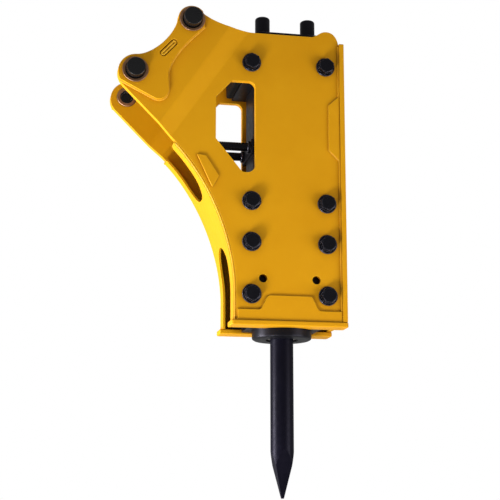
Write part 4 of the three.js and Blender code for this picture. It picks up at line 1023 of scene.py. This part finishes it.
def make_eye(eye, centre, side, label):
    aim = "-y" if side < 0 else "+y"
    x, z = centre
    inner, outer = reach(f"{eye}_bush_{label}")
    bush = turned(f"turned_{eye}_bush_{label}", [
        (46, inner), (63, inner), (67, inner + 2), (67, outer - 4), (84, outer - 4), (84, outer - 1.4),
        (81.4, outer), (66.5, outer), (65, outer - 0.8), (65, outer - 10), (46, outer - 10), (46, inner)],
        BUSH_STEEL, (x, 0, z), aim)
    claim(soften(bush, 0.5, 2), "bush_steel", f"{eye}_bush_{label}")
    low, high = reach(f"{eye}_plug_{label}")
    plug = turned(f"moulded_{eye}_plug_{label}", [
        (0, low + 10), (35, low + 10), (35, low), (45, low), (45, outer - 9.7), (60, outer - 9.7),
        (60, high - 3.0), (59, high - 1.2), (57, high - 0.3), (54, high), (8, high), (0, high)],
        PLUG_PLASTIC, (x, 0, z), aim)
    claim(soften(plug, 0, 2), "plug_plastic", f"{eye}_plug_{label}", body=f"{eye}_plug_{label}")


def make_eyes(side, label):
    make_eye("arm", ARM_EYE, side, label)
    make_eye("link", LINK_EYE, side, label)


both_sides(make_eyes)
print("eyes fitted")

# %% [markdown]
# ## Hammer body
#
# Front head, cylinder and back head are black castings, clamped together by four tie bolts with tall
# round heads. The front head and the cylinder are upright blocks with generous corners, and the back
# head is an outline with two shoulders. The front head also has a round nose, joined to it, and a bore
# for the chisel's bush.

# %% Front head
(HEAD_X0, HEAD_X1), (HEAD_Y0, HEAD_Y1), (NOSE_BOTTOM, HEAD_TOP) = span("front_head")
TOOL_BUSH = 105.0
BUSH_HOLE = TOOL_BUSH + 0.6
NECK = ((-120, 120), (-70, 70), (-95, SHELL_BOTTOM + 10))
HEAD_CORNER = 16


def make_front_head():
    trunk = block("front_head_casting", (HEAD_X0, HEAD_X1), (HEAD_Y0, HEAD_Y1),
                  (SHELL_BOTTOM + 2, HEAD_TOP), BLACK_PAINT, HEAD_CORNER)
    neck = block("neck", *NECK, BLACK_PAINT, 6)
    nose = turned("nose", [
        (0, NOSE_BOTTOM), (NOSE - 14, NOSE_BOTTOM), (NOSE - 4, NOSE_BOTTOM + 3.0), (NOSE, NOSE_BOTTOM + 8),
        (NOSE, -60), (0, -60)], BLACK_PAINT, sides=96)
    bore = turned("bore", [
        (0, NOSE_BOTTOM - 5), (BUSH_HOLE, NOSE_BOTTOM - 5), (BUSH_HOLE, HEAD_TOP + 5), (0, HEAD_TOP + 5)],
        BLACK_PAINT, sides=96)
    piece = shaped(shaped(shaped(trunk, neck, "UNION"), nose, "UNION"), bore, "DIFFERENCE")
    claim(soften(piece, 1.5, 2), "body_paint", "front_head")


make_front_head()
print("front head made")

# %% Cylinder, back head and what sits on them
CYLINDER_CORNER = 50
PORT_BOSS = ((-82, 82), (476, 524))  # across the machine, and in height
BOSS_ROOT = 20  # how far the boss reaches into the cylinder
SHOULDER_Z = 835
BACK_HEAD_TOP_X = 104
DAMPER_CORNER = 8
VALVE_COVER = 12

(x0, x1), (y0, y1), (z0, z1) = span("cylinder")
piece = block("cylinder_casting", (-x1, x1), (y0, y1), (z0, z1), BLACK_PAINT, CYLINDER_CORNER)
boss = block("boss", (x0, -x1 + BOSS_ROOT), *PORT_BOSS, BLACK_PAINT, 8)
claim(soften(shaped(piece, boss, "UNION"), 2.0), "body_paint", "cylinder")

(x0, x1), (y0, y1), (z0, z1) = span("back_head")
top = BACK_HEAD_TOP_X
right = [(x1, SHOULDER_Z), (top + 10, z1 - 14), (top, z1 - 12), (top, z1)]
left = [(-top, z1), (-top, z1 - 12), (-top - 10, z1 - 14), (x0, SHOULDER_Z)]
outline = [(x0, z0), (x1, z0), *right, *left]
piece = plate("back_head_casting", outline, [], y1 - y0, upright(y0), BLACK_PAINT)
claim(soften(piece, 5.0, 4), "body_paint", "back_head")

(x0, x1), (y0, y1), (z0, z1) = span("damper_pad")
outline = rounded([(x0, z0, DAMPER_CORNER), (x1, z0, 0), (x1, z1, 0), (x0, z1, DAMPER_CORNER)])
piece = plate("damper_block", outline, [], y1 - y0, upright(y0), DAMPER_RUBBER)
claim(soften(piece, 3.0), "damper_rubber", "damper_pad")

x, y, z = span("valve_case")
claim(soften(block("valve_box", x, y, z, BLACK_PAINT, 4), 2.0), "body_paint", "valve_case")
x, y, (z0, _) = span("valve_cap")
top = z0 + VALVE_COVER
piece = block("valve_cover", x, y, (z0, top), BLACK_PAINT, 8)
claim(soften(piece, 1.5), "body_paint", "valve_cap")
signs = ((-1, -1), (-1, 1), (1, -1), (1, 1))
spots = [(middle(x) + side_x * 13, side_y * (y[1] - 12), top) for side_x, side_y in signs]
screws = fit_bolts("valve_cover_screws", spots, UP, COVER_SCREW, 3)
claim(screws, "black_oxide")
print("castings made")

# %% Tie bolts and gas valve
SEAT = span("back_head")[2][1] + GAP
for i in range(1, 5):
    x, y, (z0, z1) = span(f"tie_bolt_{i}")
    bolt = turned(f"tie_bolt_turned_{i}", [
        (0, z0), (24, z0), (28, z0 + 3), (28, SEAT), (49, SEAT), (49, z1 - 9), (48, z1 - 6.5),
        (45, z1 - 4), (40, z1 - 2.2), (30, z1 - 0.9), (15, z1 - 0.2), (0, z1)],
        BLACK_OXIDE, (middle(x), middle(y), 0))
    claim(soften(bolt, 0), "black_oxide", f"tie_bolt_{i}")
_, _, (z0, z1) = span("gas_valve")
valve = turned("gas_valve_turned", [
    (0, z0), (23, z0), (23, SEAT), (34, SEAT), (36, SEAT + 1.5), (36, SEAT + 12), (33, SEAT + 14),
    (20, SEAT + 14), (20, z1 - 2), (17, z1), (0, z1)], TURNED_STEEL)
claim(soften(valve, 0), "bare_steel", "gas_valve")
print("tie bolts made")

# %% [markdown]
# ## Port adaptors
#
# The two hoses push onto adaptors that stand out of the cylinder towards the carrier. Each is a
# plain tube with a flange behind it, both turned from one bar.

# %% Port adaptors
PORT_SPIGOT = 20  # how far an adaptor reaches into its port
for label in ("in", "out"):
    (x0, x1), y, z = span(f"port_adaptor_{label}")
    near, far = -x1 + PORT_SPIGOT, -x0
    tube = turned(f"port_tube_{label}", [
        (16, near - 18), (23, near - 18), (23, near + GAP), (38, near + GAP), (40, near + 1.5),
        (40, near + 7), (38.5, near + 8.3), (31, near + 8.6), (28, near + 10), (28, far - 5), (24, far),
        (16, far), (16, near - 18)], BLACK_OXIDE, (0, middle(y), middle(z)), "-x", 64)
    claim(soften(tube, 0, sharp=30), "black_oxide", f"port_adaptor_{label}")
print("ports made")

# %% [markdown]
# ## Chisel and its bush
#
# The chisel is a round bar of tool steel with four facets ground to a point, and flats near its top
# where two rod pins hold it. The facets cut the round bar in four arches. Making the bar and a
# four-sided pyramid and keeping only what they share gives exactly that curve. The chisel slides,
# so it rides on its own body.

# %% Chisel
TOOL = 75.0
POINT = 153.0
TIP_FLAT = 8.0
FLAT_FROM_AXIS = 27.5  # the flats that the rod pins hold it by
FLAT_Z = (-51.0, 46.5)
CUTTER = 60.0  # half the width of the block that cuts a flat


def make_chisel():
    _, _, (tip, top) = span("chisel")
    bar = turned("moil_point_chisel", [
        (0, tip), (TOOL, tip), (TOOL, top - 5), (TOOL - 3, top - 1.5), (TOOL - 8, top), (0, top)],
        TOOL_STEEL, sides=128)
    slope = (TOOL - TIP_FLAT) / 2 / POINT
    length = top - tip + 10
    signs = ((-1, -1), (1, -1), (1, 1), (-1, 1))
    corners = []
    for along in (-1.0, length):
        half = TIP_FLAT / 2 + slope * along
        corners += [place(sx * half, sy * half, tip + along) for sx, sy in signs]
    faces = [(0, 1, 2, 3), (4, 5, 6, 7)] + [(i, (i + 1) % 4, (i + 1) % 4 + 4, i + 4) for i in range(4)]
    pyramid = new_object("pyramid", corners, faces, TOOL_STEEL)
    piece = shaped(bar, pyramid, "INTERSECT")
    for side in (-1, 1):
        y = sorted((side * FLAT_FROM_AXIS, side * CUTTER))
        cutter = block("flat", (-CUTTER, CUTTER), y, FLAT_Z, TOOL_STEEL)
        piece = shaped(piece, cutter, "DIFFERENCE")
    claim(soften(piece, 0, sharp=8), "tool_steel", "chisel", body="chisel")


def make_tool_bush():
    _, _, (z0, z1) = span("tool_bush")
    bush = turned("tool_bush_turned", [
        (78, z0), (100, z0), (TOOL_BUSH, z0 + 2), (TOOL_BUSH, z1), (76, z1), (76, z0 + 2), (78, z0)],
        TURNED_STEEL, sides=96)
    claim(soften(bush, 0.4, 2), "bare_steel", "tool_bush")


make_chisel()
make_tool_bush()
print("chisel made")

# %% [markdown]
# ## Parts that stay hidden
#
# The piston, the valve spool, the retainers and the pins inside the hammer keep the frame's own
# shapes, because no daylight reaches them. They still get the finish of ground steel.

# %% Finishes of the hidden parts
HIDDEN = ("piston", "valve_spool", "seal_retainer", "thrust_bush", "stop_pin_left", "stop_pin_right",
          "rod_pin_near", "rod_pin_far")
for name in HIDDEN:
    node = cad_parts[name]
    piece = node if isinstance(node, bpy.types.Object) else bpy.data.objects[name]
    for slot in piece.material_slots:
        slot.material = TURNED_STEEL
print(len(HIDDEN), "hidden parts finished")
